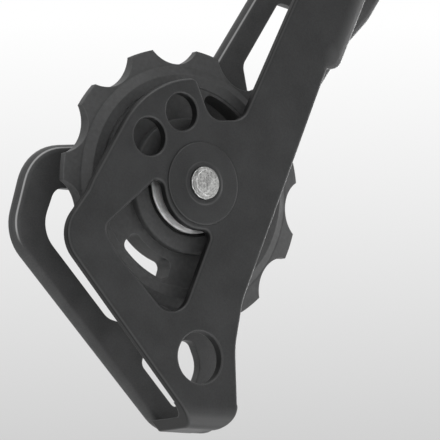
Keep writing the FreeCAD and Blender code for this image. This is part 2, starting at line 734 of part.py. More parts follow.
def cage_seal():
    """Seal ring between the knuckle and the outer plate."""
    ring = Part.makeTorus(SEAL_RING_R, SEAL_R, Vector(0, SEAL_Y, 0), Vector(0, 1, 0))
    ring.translate(PIVOT)
    return ring


def cage_spring():
    """Torsion spring that swings the cage back."""
    wire = 1.15
    inner = AXLE_R + CAGE_BAY_WALL
    radius = (inner + CAGE_BAY_R) / 2
    body = coil(radius, wire, 2.6, 3.2)
    low = PIVOT_INNER_Y - CAGE_BAY_DEPTH + wire + 0.15
    frame = Placement(PIVOT + Vector(0, low, 0), Rotation(Vector(1, 0, 0), -90))
    return placed(body, frame)


def cage_axle():
    """Axle staked into the outer plate, turning in the knuckle."""
    low = PIVOT_OUTER_Y + 1.5 + FACE_GAP
    high = OUTER_FACE_Y + PLATE_T
    profile = [
        (0, low), (AXLE_R - 0.5, low), (AXLE_R, low + 0.5), (AXLE_R, OUTER_FACE_Y),
        (AXLE_R + 0.6, OUTER_FACE_Y), (AXLE_R + 0.6, high), (0, high),
    ]
    body = turned(profile, "y")
    body.translate(PIVOT)
    return body


def cage_stop_pin():
    """Headed pin in the outer plate that meets the knuckle's lug."""
    angle = math.radians(STOP_PIN_ANGLE)
    place = Vector(STOP_PIN_REACH * math.cos(angle), 0, STOP_PIN_REACH * math.sin(angle))
    body = y_rod(STOP_PIN_R, -0.5, OUTER_FACE_Y)
    body = body.fuse(y_rod(STOP_PIN_R - 0.3, OUTER_FACE_Y, OUTER_FACE_Y + PLATE_T))
    body.translate(PIVOT + place)
    return single(body)


# Chain cage, in its own frame with the tension pulley at the origin
def outer_outline():
    """Outline of the outer plate, clockwise from the foot of its trailing edge."""
    return [
        (-1.0, -36.9, 1.5), (-25.6, -9.4, 5.2), (-20.3, -2.4, 1.2), (-19.5, -0.7, 1.2),
        (-10.1, 14.7, 16.3), (-1.1, 16.1, 1.3), (1.7, 9.8, 3.0), (7.6, 10.4, 3.2),
        (GUIDE_U - 10.9, 58.0, 14.0), (GUIDE_U - 9.5, 74.0, 7.0), (GUIDE_U - 5.0, 84.0, 9.0),
        (PIVOT_U - 4.0, PIVOT_V + 17.0, 15.0), (PIVOT_U + 16.5, PIVOT_V + 14.0, 15.0),
        (PIVOT_U + 15.0, PIVOT_V - 17.0, 15.0), (43.1, 58.0, 10.0),
        (25.6, 19.9, 1.9), (23.4, 19.8, 0.5), (7.6, -17.3, 8.0), (6.2, -24.5, 14.0),
        (6.7, -36.9, 2.5),
    ]


BEND_R = 3.6
FOOT_CORNER = 3.8
BEND_V = -36.9


def bent_strip():
    """Wide strip with the section of the foot: down the face, round the bend, inwards."""
    inner = BEND_R - PLATE_T
    level = BEND_V + BEND_R
    reach = INNER_FACE_W + FACE_GAP
    outer_arc = Part.Arc(Vector(0, level, OUTER_FACE_W),
                         Vector(0, level - BEND_R * math.sin(math.pi / 4),
                                OUTER_FACE_W - BEND_R * (1 - math.cos(math.pi / 4))),
                         Vector(0, BEND_V, OUTER_FACE_W - BEND_R)).toShape()
    inner_arc = Part.Arc(Vector(0, BEND_V + PLATE_T, OUTER_FACE_W - BEND_R),
                         Vector(0, level - inner * math.sin(math.pi / 4),
                                OUTER_FACE_W - PLATE_T - inner * (1 - math.cos(math.pi / 4))),
                         Vector(0, level, OUTER_FACE_W - PLATE_T)).toShape()
    low_end = Part.LineSegment(Vector(0, BEND_V, OUTER_FACE_W - BEND_R),
                               Vector(0, BEND_V, reach)).toShape()
    end = Part.LineSegment(Vector(0, BEND_V, reach),
                           Vector(0, BEND_V + PLATE_T, reach)).toShape()
    back = Part.LineSegment(Vector(0, BEND_V + PLATE_T, reach),
                            Vector(0, BEND_V + PLATE_T, OUTER_FACE_W - BEND_R)).toShape()
    close = Part.LineSegment(Vector(0, level, OUTER_FACE_W - PLATE_T),
                             Vector(0, level, OUTER_FACE_W)).toShape()
    face = Part.Face(Part.Wire([outer_arc, low_end, end, back, inner_arc, close]))
    face.translate(Vector(-20, 0, 0))
    return face.extrude(Vector(40, 0, 0))


def outer_foot():
    """Bottom of the outer plate, bent inwards under the chain, its edges eased."""
    side_walls = [
        (-5.2, -32.2, 0), (-0.55, BEND_V - 0.5, 0), (6.65, BEND_V - 0.5, FOOT_CORNER),
        (6.65, -32.2, 0),
    ]
    body = bent_strip().common(slab(side_walls, -20, 20))
    level = BEND_V + BEND_R
    body = body.common(Part.makeBox(60, 20, 40, Vector(-30, level - 20, -20)))
    outside = [edge for edge in body.Edges if on_bend(edge, BEND_R)]
    return body.makeFillet(EDGE_R, outside)


def lip():
    """Stiffening lip folded inwards along the leading edge of the neck."""
    near = Vector(26.0, 22.4, 0)
    far = Vector(38.5, 49.9, 0)
    run = far - near
    low = OUTER_FACE_W - 4.2
    high = OUTER_FACE_W - PLATE_T + 0.05
    wall = Part.makeBox(run.Length, PLATE_T - 0.4, high - low, Vector(0, 0.2, low))
    turn = Rotation(Vector(1, 0, 0), run)
    tips = [edge for edge in wall.Edges if edge.BoundBox.ZMax < low + 0.01
            and edge.BoundBox.XLength < 1e-6]
    wall = wall.makeFillet(0.5, tips)
    return placed(wall, Placement(near, turn))


HOLE_A = (-9.55, 6.4, 2.9)
HOLE_B = (-3.75, 10.65, 2.85)
FOOT_HOLE = (-0.4, -26.45, 3.95)
HOLE_RIM = 0.2


def cut_out():
    """Four-sided opening under the hub, its upper side round about the axle."""
    return [
        (-7.2, 1.0, 1.3), (-17.6, -7.9, 1.6), (-15.3, -11.5, 5.0), (-4.4, -22.2, 3.4),
        (2.1, -7.0, 1.1), (-5.5, -7.2, 6.6),
    ]


def axle_recess():
    """Shallow round recess about the riveted axle, with a deeper seat for its end."""
    top = OUTER_FACE_W + 0.3
    floor = OUTER_FACE_W - BOSS_SINK
    seat = OUTER_FACE_W - RIVET_SINK
    return turned([
        (0, seat), (3.1, seat), (3.3, floor), (BOSS_R, floor), (BOSS_R + 0.25, OUTER_FACE_W),
        (BOSS_R + 0.25, top), (0, top),
    ], "z")


def outer_plate():
    """Pressed outer plate with lobe, neck, pivot disc, cut-out, holes and bent foot."""
    inner_w = OUTER_FACE_W - PLATE_T
    flat = slab(outer_outline(), inner_w, OUTER_FACE_W)
    flat = flat.cut(slab(cut_out(), inner_w - 1, OUTER_FACE_W + 1))
    flat = eased(flat, EDGE_R, at_height(OUTER_FACE_W))
    flat = eased(flat, BACK_EDGE_R, at_height(inner_w))
    level = BEND_V + BEND_R
    top_part = Part.makeBox(200, 200, 40, Vector(-100, level, -20))
    body = flat.common(top_part).fuse([outer_foot(), lip()])
    recess = axle_recess()
    cuts = [recess, recess.translated(Vector(GUIDE_U, GUIDE_V, 0))]
    for x, y, radius in (HOLE_A, HOLE_B, FOOT_HOLE):
        cuts.append(disc(radius, inner_w - 1, OUTER_FACE_W + 1, x, y))
        cuts.append(Part.makeCone(radius, radius + 2 * HOLE_RIM, 2 * HOLE_RIM,
                                  Vector(x, y, OUTER_FACE_W - HOLE_RIM)))
    cuts.append(disc(AXLE_SHAFT_R + SLIP, -10, 10))
    cuts.append(disc(AXLE_SHAFT_R + SLIP, -10, 10, GUIDE_U, GUIDE_V))
    cuts.append(disc(AXLE_R + 0.6 + SLIP, -10, 10, PIVOT_U, PIVOT_V))
    angle = math.radians(STOP_PIN_ANGLE)
    pin_u = PIVOT_U + STOP_PIN_REACH * math.cos(angle)
    pin_v = PIVOT_V + STOP_PIN_REACH * math.sin(angle)
    cuts.append(disc(STOP_PIN_R - 0.3 + SLIP, -10, 10, pin_u, pin_v))
    return placed(single(body.cut(cuts)), CAGE_FRAME)


def inner_outline():
    """Outline of the inner plate with its chain guard, clockwise from the foot."""
    return [
        (11.3, -36.6, 3.5), (-0.5, -36.7, 6.0), (-27.8, -8.7, 7.0), (-24.0, 5.2, 8.0),
        (-5.0, 7.2, 6.0), (3.2, 11.4, 3.0), (22.5, 40.2, 20.0),
        (GUIDE_U - 13.5, 66.0, 9.0), (GUIDE_U - 13.0, GUIDE_V + 13.0, 12.0),
        (GUIDE_U + 13.0, GUIDE_V + 13.0, 12.0), (GUIDE_U + 11.1, 51.5, 14.0),
        (39.3, 30.3, 8.0), (34.8, 25.7, 8.0), (11.3, -7.4, 14.0),
    ]


def guard_window():
    """Large window between the chain guard and the hub."""
    return [
        (-16.4, -0.9, 1.5), (-19.7, -0.9, 2.2), (-22.2, -7.6, 5.0), (-10.2, -20.2, 3.0),
        (-7.3, -20.8, 2.4), (7.6, -15.6, 2.5), (6.8, -6.2, 2.0), (-6.1, -8.8, 7.5),
        (-9.9, 1.0, 2.0),
    ]


def foot_window():
    """Long window between the lower bar and the foot's diagonal rib."""
    return [
        (-5.1, -25.8, 1.4), (1.7, -32.95, 1.2), (4.8, -32.95, 1.2), (-1.1, -24.6, 1.4),
    ]


def foot_side_window():
    """Window beside the diagonal rib, seen through the foot hole."""
    return [(1.2, -22.8, 0.8), (1.2, -25.6, 0.8), (5.5, -30.0, 0.6), (7.0, -26.3, 4.0),
            (5.4, -22.6, 1.4)]


def neck_window():
    """Lower window of the inner plate's neck."""
    return [
        (15.6, 16.6, 0.6), (14.7, 20.9, 2.0), (21.5, 31.4, 1.2), (31.0, 29.6, 2.5),
        (22.0, 16.6, 2.5),
    ]


def high_neck_window():
    """Upper window of the inner plate's neck."""
    return [
        (25.0, 37.0, 2.2), (GUIDE_U - 9.3, 57.5, 2.5), (GUIDE_U + 7.5, 57.5, 3.0),
        (38.0, 37.0, 2.2),
    ]


def inner_plate():
    """Pressed inner plate: guard loop, windows and the seat of both axles."""
    low = INNER_FACE_W - PLATE_T
    body = slab(inner_outline(), low, INNER_FACE_W)
    body = eased(body, GUARD_EDGE_R, at_height(INNER_FACE_W))
    cuts = []
    windows = (guard_window(), foot_window(), foot_side_window(), neck_window(),
               high_neck_window())
    for corners in windows:
        cuts.append(slab(corners, low - 1, INNER_FACE_W + 1))
    cuts.append(disc(AXLE_SHAFT_R + SLIP, -10, 10))
    cuts.append(disc(AXLE_SHAFT_R + SLIP, -10, 10, GUIDE_U, GUIDE_V))
    return placed(single(body.cut(cuts)), CAGE_FRAME)


def tooth_valleys():
    """Round gaps between the teeth."""
    centre = VALLEY_R + VALLEY_CURVE
    valleys = []
    for step in range(TEETH):
        angle = math.radians(TOOTH_PHASE + 360.0 * (step + 0.5) / TEETH)
        valleys.append(disc(VALLEY_CURVE, -3, 3, centre * math.cos(angle), centre * math.sin(angle)))
    return valleys


def web_windows():
    """Curved windows through the web between hub and rim."""
    near = WINDOW_IN_R + WINDOW_CORNER
    far = WINDOW_OUT_R - WINDOW_CORNER
    trim = math.degrees(WINDOW_CORNER / ((near + far) / 2))
    half = math.radians(WINDOW_HALF_ANGLE - trim)
    ends = []
    for radius, turn in ((near, -half), (near, 0), (near, half), (far, half), (far, 0),
                         (far, -half)):
        ends.append(Vector(radius * math.cos(turn), radius * math.sin(turn), 0))
    core = Part.Wire([
        Part.Arc(ends[0], ends[1], ends[2]).toShape(), Part.makeLine(ends[2], ends[3]),
        Part.Arc(ends[3], ends[4], ends[5]).toShape(), Part.makeLine(ends[5], ends[0]),
    ])
    outline = core.makeOffset2D(WINDOW_CORNER)
    face = Part.Face(outline)
    face.translate(Vector(0, 0, -4))
    window = face.extrude(Vector(0, 0, 8))
    windows = []
    for step in range(WINDOWS):
        turn = Rotation(Vector(0, 0, 1), WINDOW_PHASE + 360.0 * step / WINDOWS)
        windows.append(placed(window, Placement(Vector(), turn)))
    return windows


def pulley():
    """Moulded chain pulley: hub, windowed web, raised rim and tapered teeth."""
    seat = HUB_HALF_T - CAP_SEAT_DEPTH
    bore = BUSH_R + RUN
    upper = [
        (bore, seat), (CAP_SEAT_R, seat), (CAP_SEAT_R, HUB_HALF_T),
        (HUB_R - 0.3, HUB_HALF_T), (HUB_R, HUB_HALF_T - 0.3), (HUB_R, WEB_HALF_T),
        (RIM_IN_R - 0.2, WEB_HALF_T), (RIM_IN_R, RIM_HALF_T), (RIM_OUT_R, RIM_HALF_T),
        (RIM_OUT_R + RIM_BEVEL, ROOT_HALF_T), (VALLEY_R, ROOT_HALF_T), (TIP_R, TIP_HALF_T),
    ]
    lower = [(radius, -height) for radius, height in reversed(upper)]
    body = turned(upper + lower, "z")
    return single(body.cut(tooth_valleys() + web_windows()))


def at_axle(shape, u, v):
    """Place a shape made about the pulley axis at one of the cage's two axles."""
    moved = shape.copy()
    moved.translate(Vector(u, v, 0))
    return placed(moved, CAGE_FRAME)


def pulley_bush():
    """Sleeve that the pulley turns on, held between the plates."""
    high = OUTER_FACE_W - PLATE_T - SLIP
    low = INNER_FACE_W + SLIP
    return tube(BUSH_R, AXLE_SHAFT_R + SLIP, low, high)


def dust_caps():
    """Pair of stepped steel caps in the hub's recesses, raised towards the plates."""
    low = HUB_HALF_T - CAP_SEAT_DEPTH + SLIP
    high = low + CAP_T
    inner = BUSH_R + RUN
    neck = inner + 1.0
    profile = [
        (inner, CAP_TOP - CAP_T), (neck - CAP_T, CAP_TOP - CAP_T), (neck, low), (CAP_R, low),
        (CAP_R, high - 0.1), (CAP_R - 0.1, high), (neck + CAP_T, high), (neck, CAP_TOP),
        (inner, CAP_TOP),
    ]
    upper = turned(profile, "z")
    lower = upper.mirror(Vector(), Vector(0, 0, 1))
    return Part.makeCompound([upper, lower])


def axle_rivet():
    """Riveted axle with a low round end on each plate."""
    high = OUTER_FACE_W
    low = INNER_FACE_W - PLATE_T
    ease = 0.25
    profile = [
        (0, low - RIVET_PROUD), (RIVET_R + 0.6, low - RIVET_PROUD), (RIVET_R + 0.9, low - 0.3),
        (RIVET_R + 0.9, low), (AXLE_SHAFT_R, low), (AXLE_SHAFT_R, high - RIVET_SINK),
        (RIVET_R, high - RIVET_SINK), (RIVET_R, high + RIVET_PROUD - ease),
        (RIVET_R - ease, high + RIVET_PROUD), (0, high + RIVET_PROUD),
    ]
    return turned(profile, "z")


def build():
    """Every sub-part by its node name."""
    wheel = pulley()
    caps = dust_caps()
    sleeve = pulley_bush()
    rivet = axle_rivet()
    upper_ys = (INNER_PIN_Y, OUTER_PIN_Y)
    return {
        "hanger_bolt": hanger_bolt(),
        "hanger_circlip": hanger_circlip(),
        "stop_plate": stop_plate(),
        "knuckle_bush": knuckle_bush(),
        "knuckle_spring": knuckle_spring(),
        "mounting_knuckle": mounting_knuckle(),
        "high_limit_screw": limit_screw(0),
        "low_limit_screw": limit_screw(1),
        "angle_screw": angle_screw(),
        "barrel_adjuster": barrel_adjuster(),
        "barrel_spring": barrel_spring(),
        "outer_link": outer_link(),
        "inner_link": inner_link(),
        "upper_link_pins": link_pins(upper_ys, LINK_FRAME),
        "lower_link_pins": link_pins(lower_pin_ys(), LOWER_FRAME),
        "return_spring": return_spring(),
        "cable_clamp_plate": clamp_plate(),
        "cable_clamp_bolt": clamp_bolt(),
        "cage_knuckle": cage_knuckle(),
        "cage_axle": cage_axle(),
        "cage_spring": cage_spring(),
        "cage_seal": cage_seal(),
        "cage_stop_pin": cage_stop_pin(),
        "outer_cage_plate": outer_plate(),
        "inner_cage_plate": inner_plate(),
        "guide_pulley": at_axle(wheel, GUIDE_U, GUIDE_V),
        "tension_pulley": at_axle(wheel, 0, 0),
        "guide_bush": at_axle(sleeve, GUIDE_U, GUIDE_V),
        "tension_bush": at_axle(sleeve, 0, 0),
        "guide_dust_caps": at_axle(caps, GUIDE_U, GUIDE_V),
        "tension_dust_caps": at_axle(caps, 0, 0),
        "guide_axle": at_axle(rivet, GUIDE_U, GUIDE_V),
        "tension_axle": at_axle(rivet, 0, 0),
    }


os.makedirs("parts", exist_ok=True)
for node, shape in build().items():
    shape.exportStep("parts/" + node + ".step")
    print(node, len(shape.Solids), round(shape.Volume, 1), shape.isValid())
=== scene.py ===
"""Looks of a bicycle's rear derailleur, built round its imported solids.

Sizes of pieces are in millimetres. Places and the sizes of finishes and lamps are in metres.
"""

from __future__ import annotations

import json
import logging
import math
from abc import ABC, abstractmethod
from collections.abc import Callable
from dataclasses import dataclass, field
from enum import Enum

import bpy
from mathutils import Matrix, Vector

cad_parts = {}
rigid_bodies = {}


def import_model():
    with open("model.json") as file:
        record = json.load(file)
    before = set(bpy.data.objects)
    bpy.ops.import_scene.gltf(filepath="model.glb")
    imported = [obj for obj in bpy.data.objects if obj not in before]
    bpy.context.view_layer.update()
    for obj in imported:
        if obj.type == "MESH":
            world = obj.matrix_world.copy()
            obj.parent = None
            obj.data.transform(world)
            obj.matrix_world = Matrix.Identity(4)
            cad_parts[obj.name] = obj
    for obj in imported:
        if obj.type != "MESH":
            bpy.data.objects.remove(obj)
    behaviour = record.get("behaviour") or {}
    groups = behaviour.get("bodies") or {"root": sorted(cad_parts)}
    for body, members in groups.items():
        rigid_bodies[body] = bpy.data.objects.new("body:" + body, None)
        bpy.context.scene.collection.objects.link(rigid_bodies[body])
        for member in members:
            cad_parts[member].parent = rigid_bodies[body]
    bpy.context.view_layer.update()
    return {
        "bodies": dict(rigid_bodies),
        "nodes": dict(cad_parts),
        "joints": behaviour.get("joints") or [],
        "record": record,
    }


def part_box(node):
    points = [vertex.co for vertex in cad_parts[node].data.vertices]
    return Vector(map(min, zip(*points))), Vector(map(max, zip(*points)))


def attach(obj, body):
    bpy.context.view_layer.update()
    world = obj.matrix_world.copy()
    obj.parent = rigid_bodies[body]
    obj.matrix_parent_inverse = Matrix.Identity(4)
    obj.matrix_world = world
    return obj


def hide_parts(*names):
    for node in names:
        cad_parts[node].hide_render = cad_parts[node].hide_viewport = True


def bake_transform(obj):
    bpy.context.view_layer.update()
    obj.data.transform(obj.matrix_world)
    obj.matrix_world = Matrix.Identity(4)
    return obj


Socket = bpy.types.NodeSocket
LOG = logging.getLogger("derailleur")
MM = 0.001
ORIGIN = Vector((0.0, 0.0, 0.0))

MERGE_DISTANCE = 0.002 * MM
TURNED_CREASE = math.radians(35.0)
BOLT_CREASE = math.radians(30.0)
WIRE_CREASE = math.radians(50.0)

# Shares of the pitch
THREAD_DEPTH = 0.55
RIDGE_WIDTH = 0.96

# Surface patterns
BROAD_SHARE = 0.05
NOISE_RANGE = (0.3, 0.7)
STAKED_RANGE = (0.55, 1.3)
SOFT_SPREAD = 0.16
HARD_SPREAD = 0.3
BRUSH_STRETCH = (1.0, 0.06, 0.06)
TURN_STRETCH = 0.0004
ROUGH_RANGE = (-0.04, 0.06)
EASED_SAMPLES = 6
ROLLED_SAMPLES = 8

# Masks of painted highlights on edges and roundings and of painted shade on walls, by how far a
# surface faces one way
EDGE_TURN = (0.995, 0.86)
EDGE_BREAK = (0.85, 1.1, 0.6, 1.0)
WALL_FACING = (0.4, 0.7)
FRONT_FACING = (0.25, 0.0)
HIGH_FADE = 0.2

# Masks of a rolled rim and of its painted highlight, in radii of the roll
ROLL_BEND = (-1.3, -1.0)
ROLL_HIGHLIGHT = (-1.15, 0.0)
ROLL_SPREAD = 1.5
ROLL_END = (1.5, 0.5)
ROLL_END_HIGHLIGHT = 0.6

# Ranges of direction over which the reflected room darkens
FRONT_RANGE = (-0.9, 0.1)
LEFT_RANGE = (-0.9, 0.0)


class Joint(Enum):
    """Joints whose places the looks are measured from."""

    MOUNTING = "mounting_pivot"
    GUIDE = "guide_pulley_spin"
    TENSION = "tension_pulley_spin"
    OUTER_LINK = "outer_link_swing"
    INNER_LINK = "inner_link_swing"
    LOWER_LINK = "lower_knuckle_swing"


class Grain(Enum):
    """Ways in which a surface is broken up at close range."""

    BLASTED = "blasted"
    MOULDED = "moulded"
    BRUSHED = "brushed"
    STAKED = "staked"
    TURNED = "turned"


def joint_entry(frame: dict, joint: Joint) -> dict:
    """Find a joint in the frame.

    Args:
        joint: The joint looked for.

    Returns:
        Its entry, with its name, place and axis.

    Raises:
        KeyError: The frame has no such joint.
    """
    for entry in frame["joints"]:
        if entry["name"] == joint.value:
            return entry
    raise KeyError(joint.value)


def joint_place(frame: dict, joint: Joint) -> Vector:
    """Find where a joint sits at rest.

    Args:
        joint: The joint looked for.

    Returns:
        Its place in metres.
    """
    return Vector(joint_entry(frame, joint)["pos_m"])


def start_clean() -> None:
    """Leave edit mode and deselect everything, before a primitive is added."""
    if bpy.context.object is not None and bpy.context.object.mode != "OBJECT":
        bpy.ops.object.mode_set(mode="OBJECT")
    bpy.ops.object.select_all(action="DESELECT")


def pick(*pieces: bpy.types.Object) -> None:
    """Select pieces and nothing else.

    Args:
        pieces: The pieces, the one that becomes active last.
    """
    start_clean()
    for piece in pieces:
        piece.select_set(True)
    bpy.context.view_layer.objects.active = pieces[-1]


def settle() -> None:
    """Move the place and the turn of the selected piece into its mesh."""
    bpy.ops.object.transform_apply(location=True, rotation=True, scale=True)


def edit_whole() -> None:
    """Enter edit mode with all of the active piece selected."""
    bpy.ops.object.mode_set(mode="EDIT")
    bpy.ops.mesh.select_all(action="SELECT")


def close_edit(crease: float, merge: bool = False) -> None:
    """Point the normals outwards, leave edit mode and smooth the piece.

    Args:
        crease: Angle in radians beyond which an edge stays sharp.
        merge: Whether vertices that meet are merged first.
    """
    bpy.ops.mesh.select_all(action="SELECT")
    if merge:
        bpy.ops.mesh.remove_doubles(threshold=MERGE_DISTANCE)
    bpy.ops.mesh.normals_make_consistent(inside=False)
    bpy.ops.object.mode_set(mode="OBJECT")
    bpy.ops.object.shade_smooth_by_angle(angle=crease)


@dataclass
class Lathe:
    """Turns round pieces ring by ring about an axis.

    A profile is a list of rings, each a radius and a height along the axis.
    """

    origin: Vector
    outboard: Vector = field(default_factory=lambda: Vector((0.0, -1.0, 0.0)))
    segments: int = 96

    def at(self, height: float) -> Vector:
        """Find the point of the axis at a height."""
        return self.origin + self.outboard * height * MM

    def turn(self, name: str, profile: list[tuple[float, float]],
             hollow: bool = False) -> bpy.types.Object:
        """Extrude a circle from ring to ring.

        Args:
            name: Name of the new piece.
            profile: The rings in order.
            hollow: Whether the profile closes on itself, as a washer's does.

        Returns:
            The piece, its place in its mesh.
        """
        start_clean()
        rings = profile + profile[:1] if hollow else profile
        (radius, height), *rest = rings
        tilt = self.outboard.to_track_quat("Z", "Y").to_euler()
        bpy.ops.mesh.primitive_circle_add(
            vertices=self.segments, radius=radius * MM, location=self.at(height),
            rotation=tilt, fill_type="NOTHING" if hollow else "NGON")
        piece = bpy.context.object
        piece.name = name
        settle()
        edit_whole()
        for next_radius, next_height in rest:
            step = self.outboard * (next_height - height) * MM
            bpy.ops.mesh.extrude_region_move(TRANSFORM_OT_translate={"value": step})
            ratio = next_radius / radius
            bpy.ops.transform.resize(value=(ratio, ratio, ratio),
                                     center_override=self.at(next_height))
            radius, height = next_radius, next_height
        close_edit(TURNED_CREASE, merge=hollow)
        return piece


def face_lathes(centre: Vector) -> list[tuple[str, Lathe]]:
    """Set up a lathe for each face of a pulley.

    Args:
        centre: The pulley's middle, in metres.

    Returns:
        The name of each side with its lathe, which builds away from the middle.
    """
    return [(side, Lathe(centre, Vector((0.0, way, 0.0))))
            for side, way in (("outer", -1.0), ("inner", 1.0))]


def thread(centre: Vector, radius: float, pitch: float, length: float,
           steps: int = 48) -> bpy.types.Object:
    """Wind a thread's ridge along the y axis.

    Args:
        centre: Start of the thread on its axis, in metres.
        radius: Outer radius in millimetres.
        pitch: Millimetres from turn to turn.
        length: Millimetres that the ridge covers.
        steps: Steps of each turn.

    Returns:
        The ridge, closed at both ends, its place in its mesh.
    """
    start_clean()
    depth = THREAD_DEPTH * pitch
    bpy.ops.mesh.primitive_circle_add(vertices=4, radius=0.5 * pitch * MM,
                                      location=((radius - depth) * MM, 0.0, 0.0))
    ridge = bpy.context.object
    edit_whole()
    bpy.ops.transform.resize(value=(2.0 * depth / pitch, RIDGE_WIDTH, 1.0))
    bpy.ops.object.mode_set(mode="OBJECT")
    settle()
    winding = ridge.modifiers.new("winding", "SCREW")
    winding.axis = "Y"
    winding.steps = steps
    winding.render_steps = steps
    winding.screw_offset = pitch * MM
    winding.iterations = max(1, int(length / pitch))
    bpy.ops.object.modifier_apply(modifier=winding.name)
    edit_whole()
    bpy.ops.mesh.fill_holes(sides=4)
    close_edit(TURNED_CREASE)
    ridge.location = centre
    settle()
    return ridge


def roughen(piece: bpy.types.Object, moves: Callable[[bpy.types.MeshVertex], bool],
            depth: float, seed: int) -> None:
    """Shake some vertices of a piece a little, as a punch leaves them.

    Args:
        piece: The piece in object mode.
        moves: Says whether a vertex moves.
        depth: Largest move in metres.
        seed: Seed of the shake.
    """
    pick(piece)
    bpy.ops.object.mode_set(mode="EDIT")
    bpy.ops.mesh.select_all(action="DESELECT")
    bpy.ops.object.mode_set(mode="OBJECT")
    for vertex in piece.data.vertices:
        vertex.select = moves(vertex)
    bpy.ops.object.mode_set(mode="EDIT")
    bpy.ops.transform.vertex_random(offset=depth, seed=seed)
    bpy.ops.object.mode_set(mode="OBJECT")


@dataclass
class NodeNet:
    """Small helper that adds and joins shader nodes of one tree."""

    tree: bpy.types.NodeTree

    def add(self, kind: str, **inputs: object) -> bpy.types.Node:
        """Add a node and set the named inputs that are given.

        Args:
            kind: Blender's name of the node's type.
            inputs: Values of inputs, with underscores for the spaces in their names.

        Returns:
            The node.
        """
        node = self.tree.nodes.new(kind)
        for name, value in inputs.items():
            node.inputs[name.replace("_", " ")].default_value = value
        return node

    def link(self, source: Socket, target: Socket) -> None:
        """Join two sockets."""
        self.tree.links.new(source, target)

    def feed(self, source: object, target: Socket) -> None:
        """Give an input a value.

        Args:
            source: An output to join it to, or a plain value.
            target: The input.
        """
        if isinstance(source, Socket):
            self.link(source, target)
        else:
            target.default_value = source

    def maths(self, operation: str, first: object, second: object = 0.0,
              kind: str = "ShaderNodeMath", output: str = "Value") -> Socket:
        """Add a node that reckons with one or two values.

        Args:
            operation: Blender's name of the operation.
            first: A socket or a value.
            second: A socket or a value.
            kind: Blender's name of the node's type.
            output: Name of the output that is wanted.

        Returns:
            That output.
        """
        node = self.add(kind)
        node.operation = operation
        self.feed(first, node.inputs[0])
        self.feed(second, node.inputs[1])
        return node.outputs[output]

    def vector_maths(self, operation: str, first: object, second: object,
                     output: str = "Value") -> Socket:
        """Reckon with two vectors, as maths does with numbers."""
        return self.maths(operation, first, second, "ShaderNodeVectorMath", output)

    def mix(self, factor: object, first: object, second: object, kind: str = "RGBA",
            blend: str = "MIX") -> Socket:
        """Add a Mix node.

        Args:
            factor: A socket or a number.
            first: A socket or a value, whole at factor 0.
            second: A socket or a value, whole at factor 1.
            kind: RGBA for colours or VECTOR for vectors.
            blend: Blender's name of the way in which colours are blended.

        Returns:
            The node's output.
        """
        node = self.add("ShaderNodeMix")
        node.data_type = kind
        node.blend_type = blend
        self.feed(factor, node.inputs["Factor"])
        self.feed(first, node.inputs["A"])
        self.feed(second, node.inputs["B"])
        return node.outputs["Result"]

    def ramp(self, source: Socket, low: float, high: float,
             out_low: float = 0.0, out_high: float = 1.0) -> Socket:
        """Map a range of values onto another, clamped at both ends.

        Args:
            source: The value.
            low: Start of its range.
            high: End of its range.
            out_low: Result at the start.
            out_high: Result at the end.

        Returns:
            The result.
        """
        node = self.add("ShaderNodeMapRange", From_Min=low, From_Max=high, To_Min=out_low,
                        To_Max=out_high)
        self.link(source, node.inputs["Value"])
        return node.outputs[0]

    def split(self, source: Socket) -> bpy.types.bpy_prop_collection:
        """Take a vector apart into the outputs X, Y and Z."""
        node = self.add("ShaderNodeSeparateXYZ")
        self.link(source, node.inputs[0])
        return node.outputs

    def eased(self, radius: float, samples: int) -> Socket:
        """Find the normal as if edges were rounded.

        Args:
            radius: Radius of the rounding in metres.
            samples: Rays that look for edges.

        Returns:
            The normal.
        """
        node = self.add("ShaderNodeBevel", Radius=radius)
        node.samples = samples
        return node.outputs["Normal"]


def turned_place(net: NodeNet, place: Socket) -> Socket:
    """Turn a place about the y axis into radius and angle, for marks left by turning.

    Args:
        net: The group's nodes.
        place: The place on the surface.

    Returns:
        A vector with the radius along x and the angle, pressed small, along y.
    """
    parts = net.split(place)
    across = net.maths("MULTIPLY", parts["X"], parts["X"])
    up = net.maths("MULTIPLY", parts["Z"], parts["Z"])
    radius = net.maths("SQRT", net.maths("ADD", across, up))
    angle = net.maths("ARCTAN2", parts["Z"], parts["X"])
    join = net.add("ShaderNodeCombineXYZ")
    net.link(radius, join.inputs["X"])
    net.link(net.maths("MULTIPLY", angle, TURN_STRETCH), join.inputs["Y"])
    return join.outputs[0]


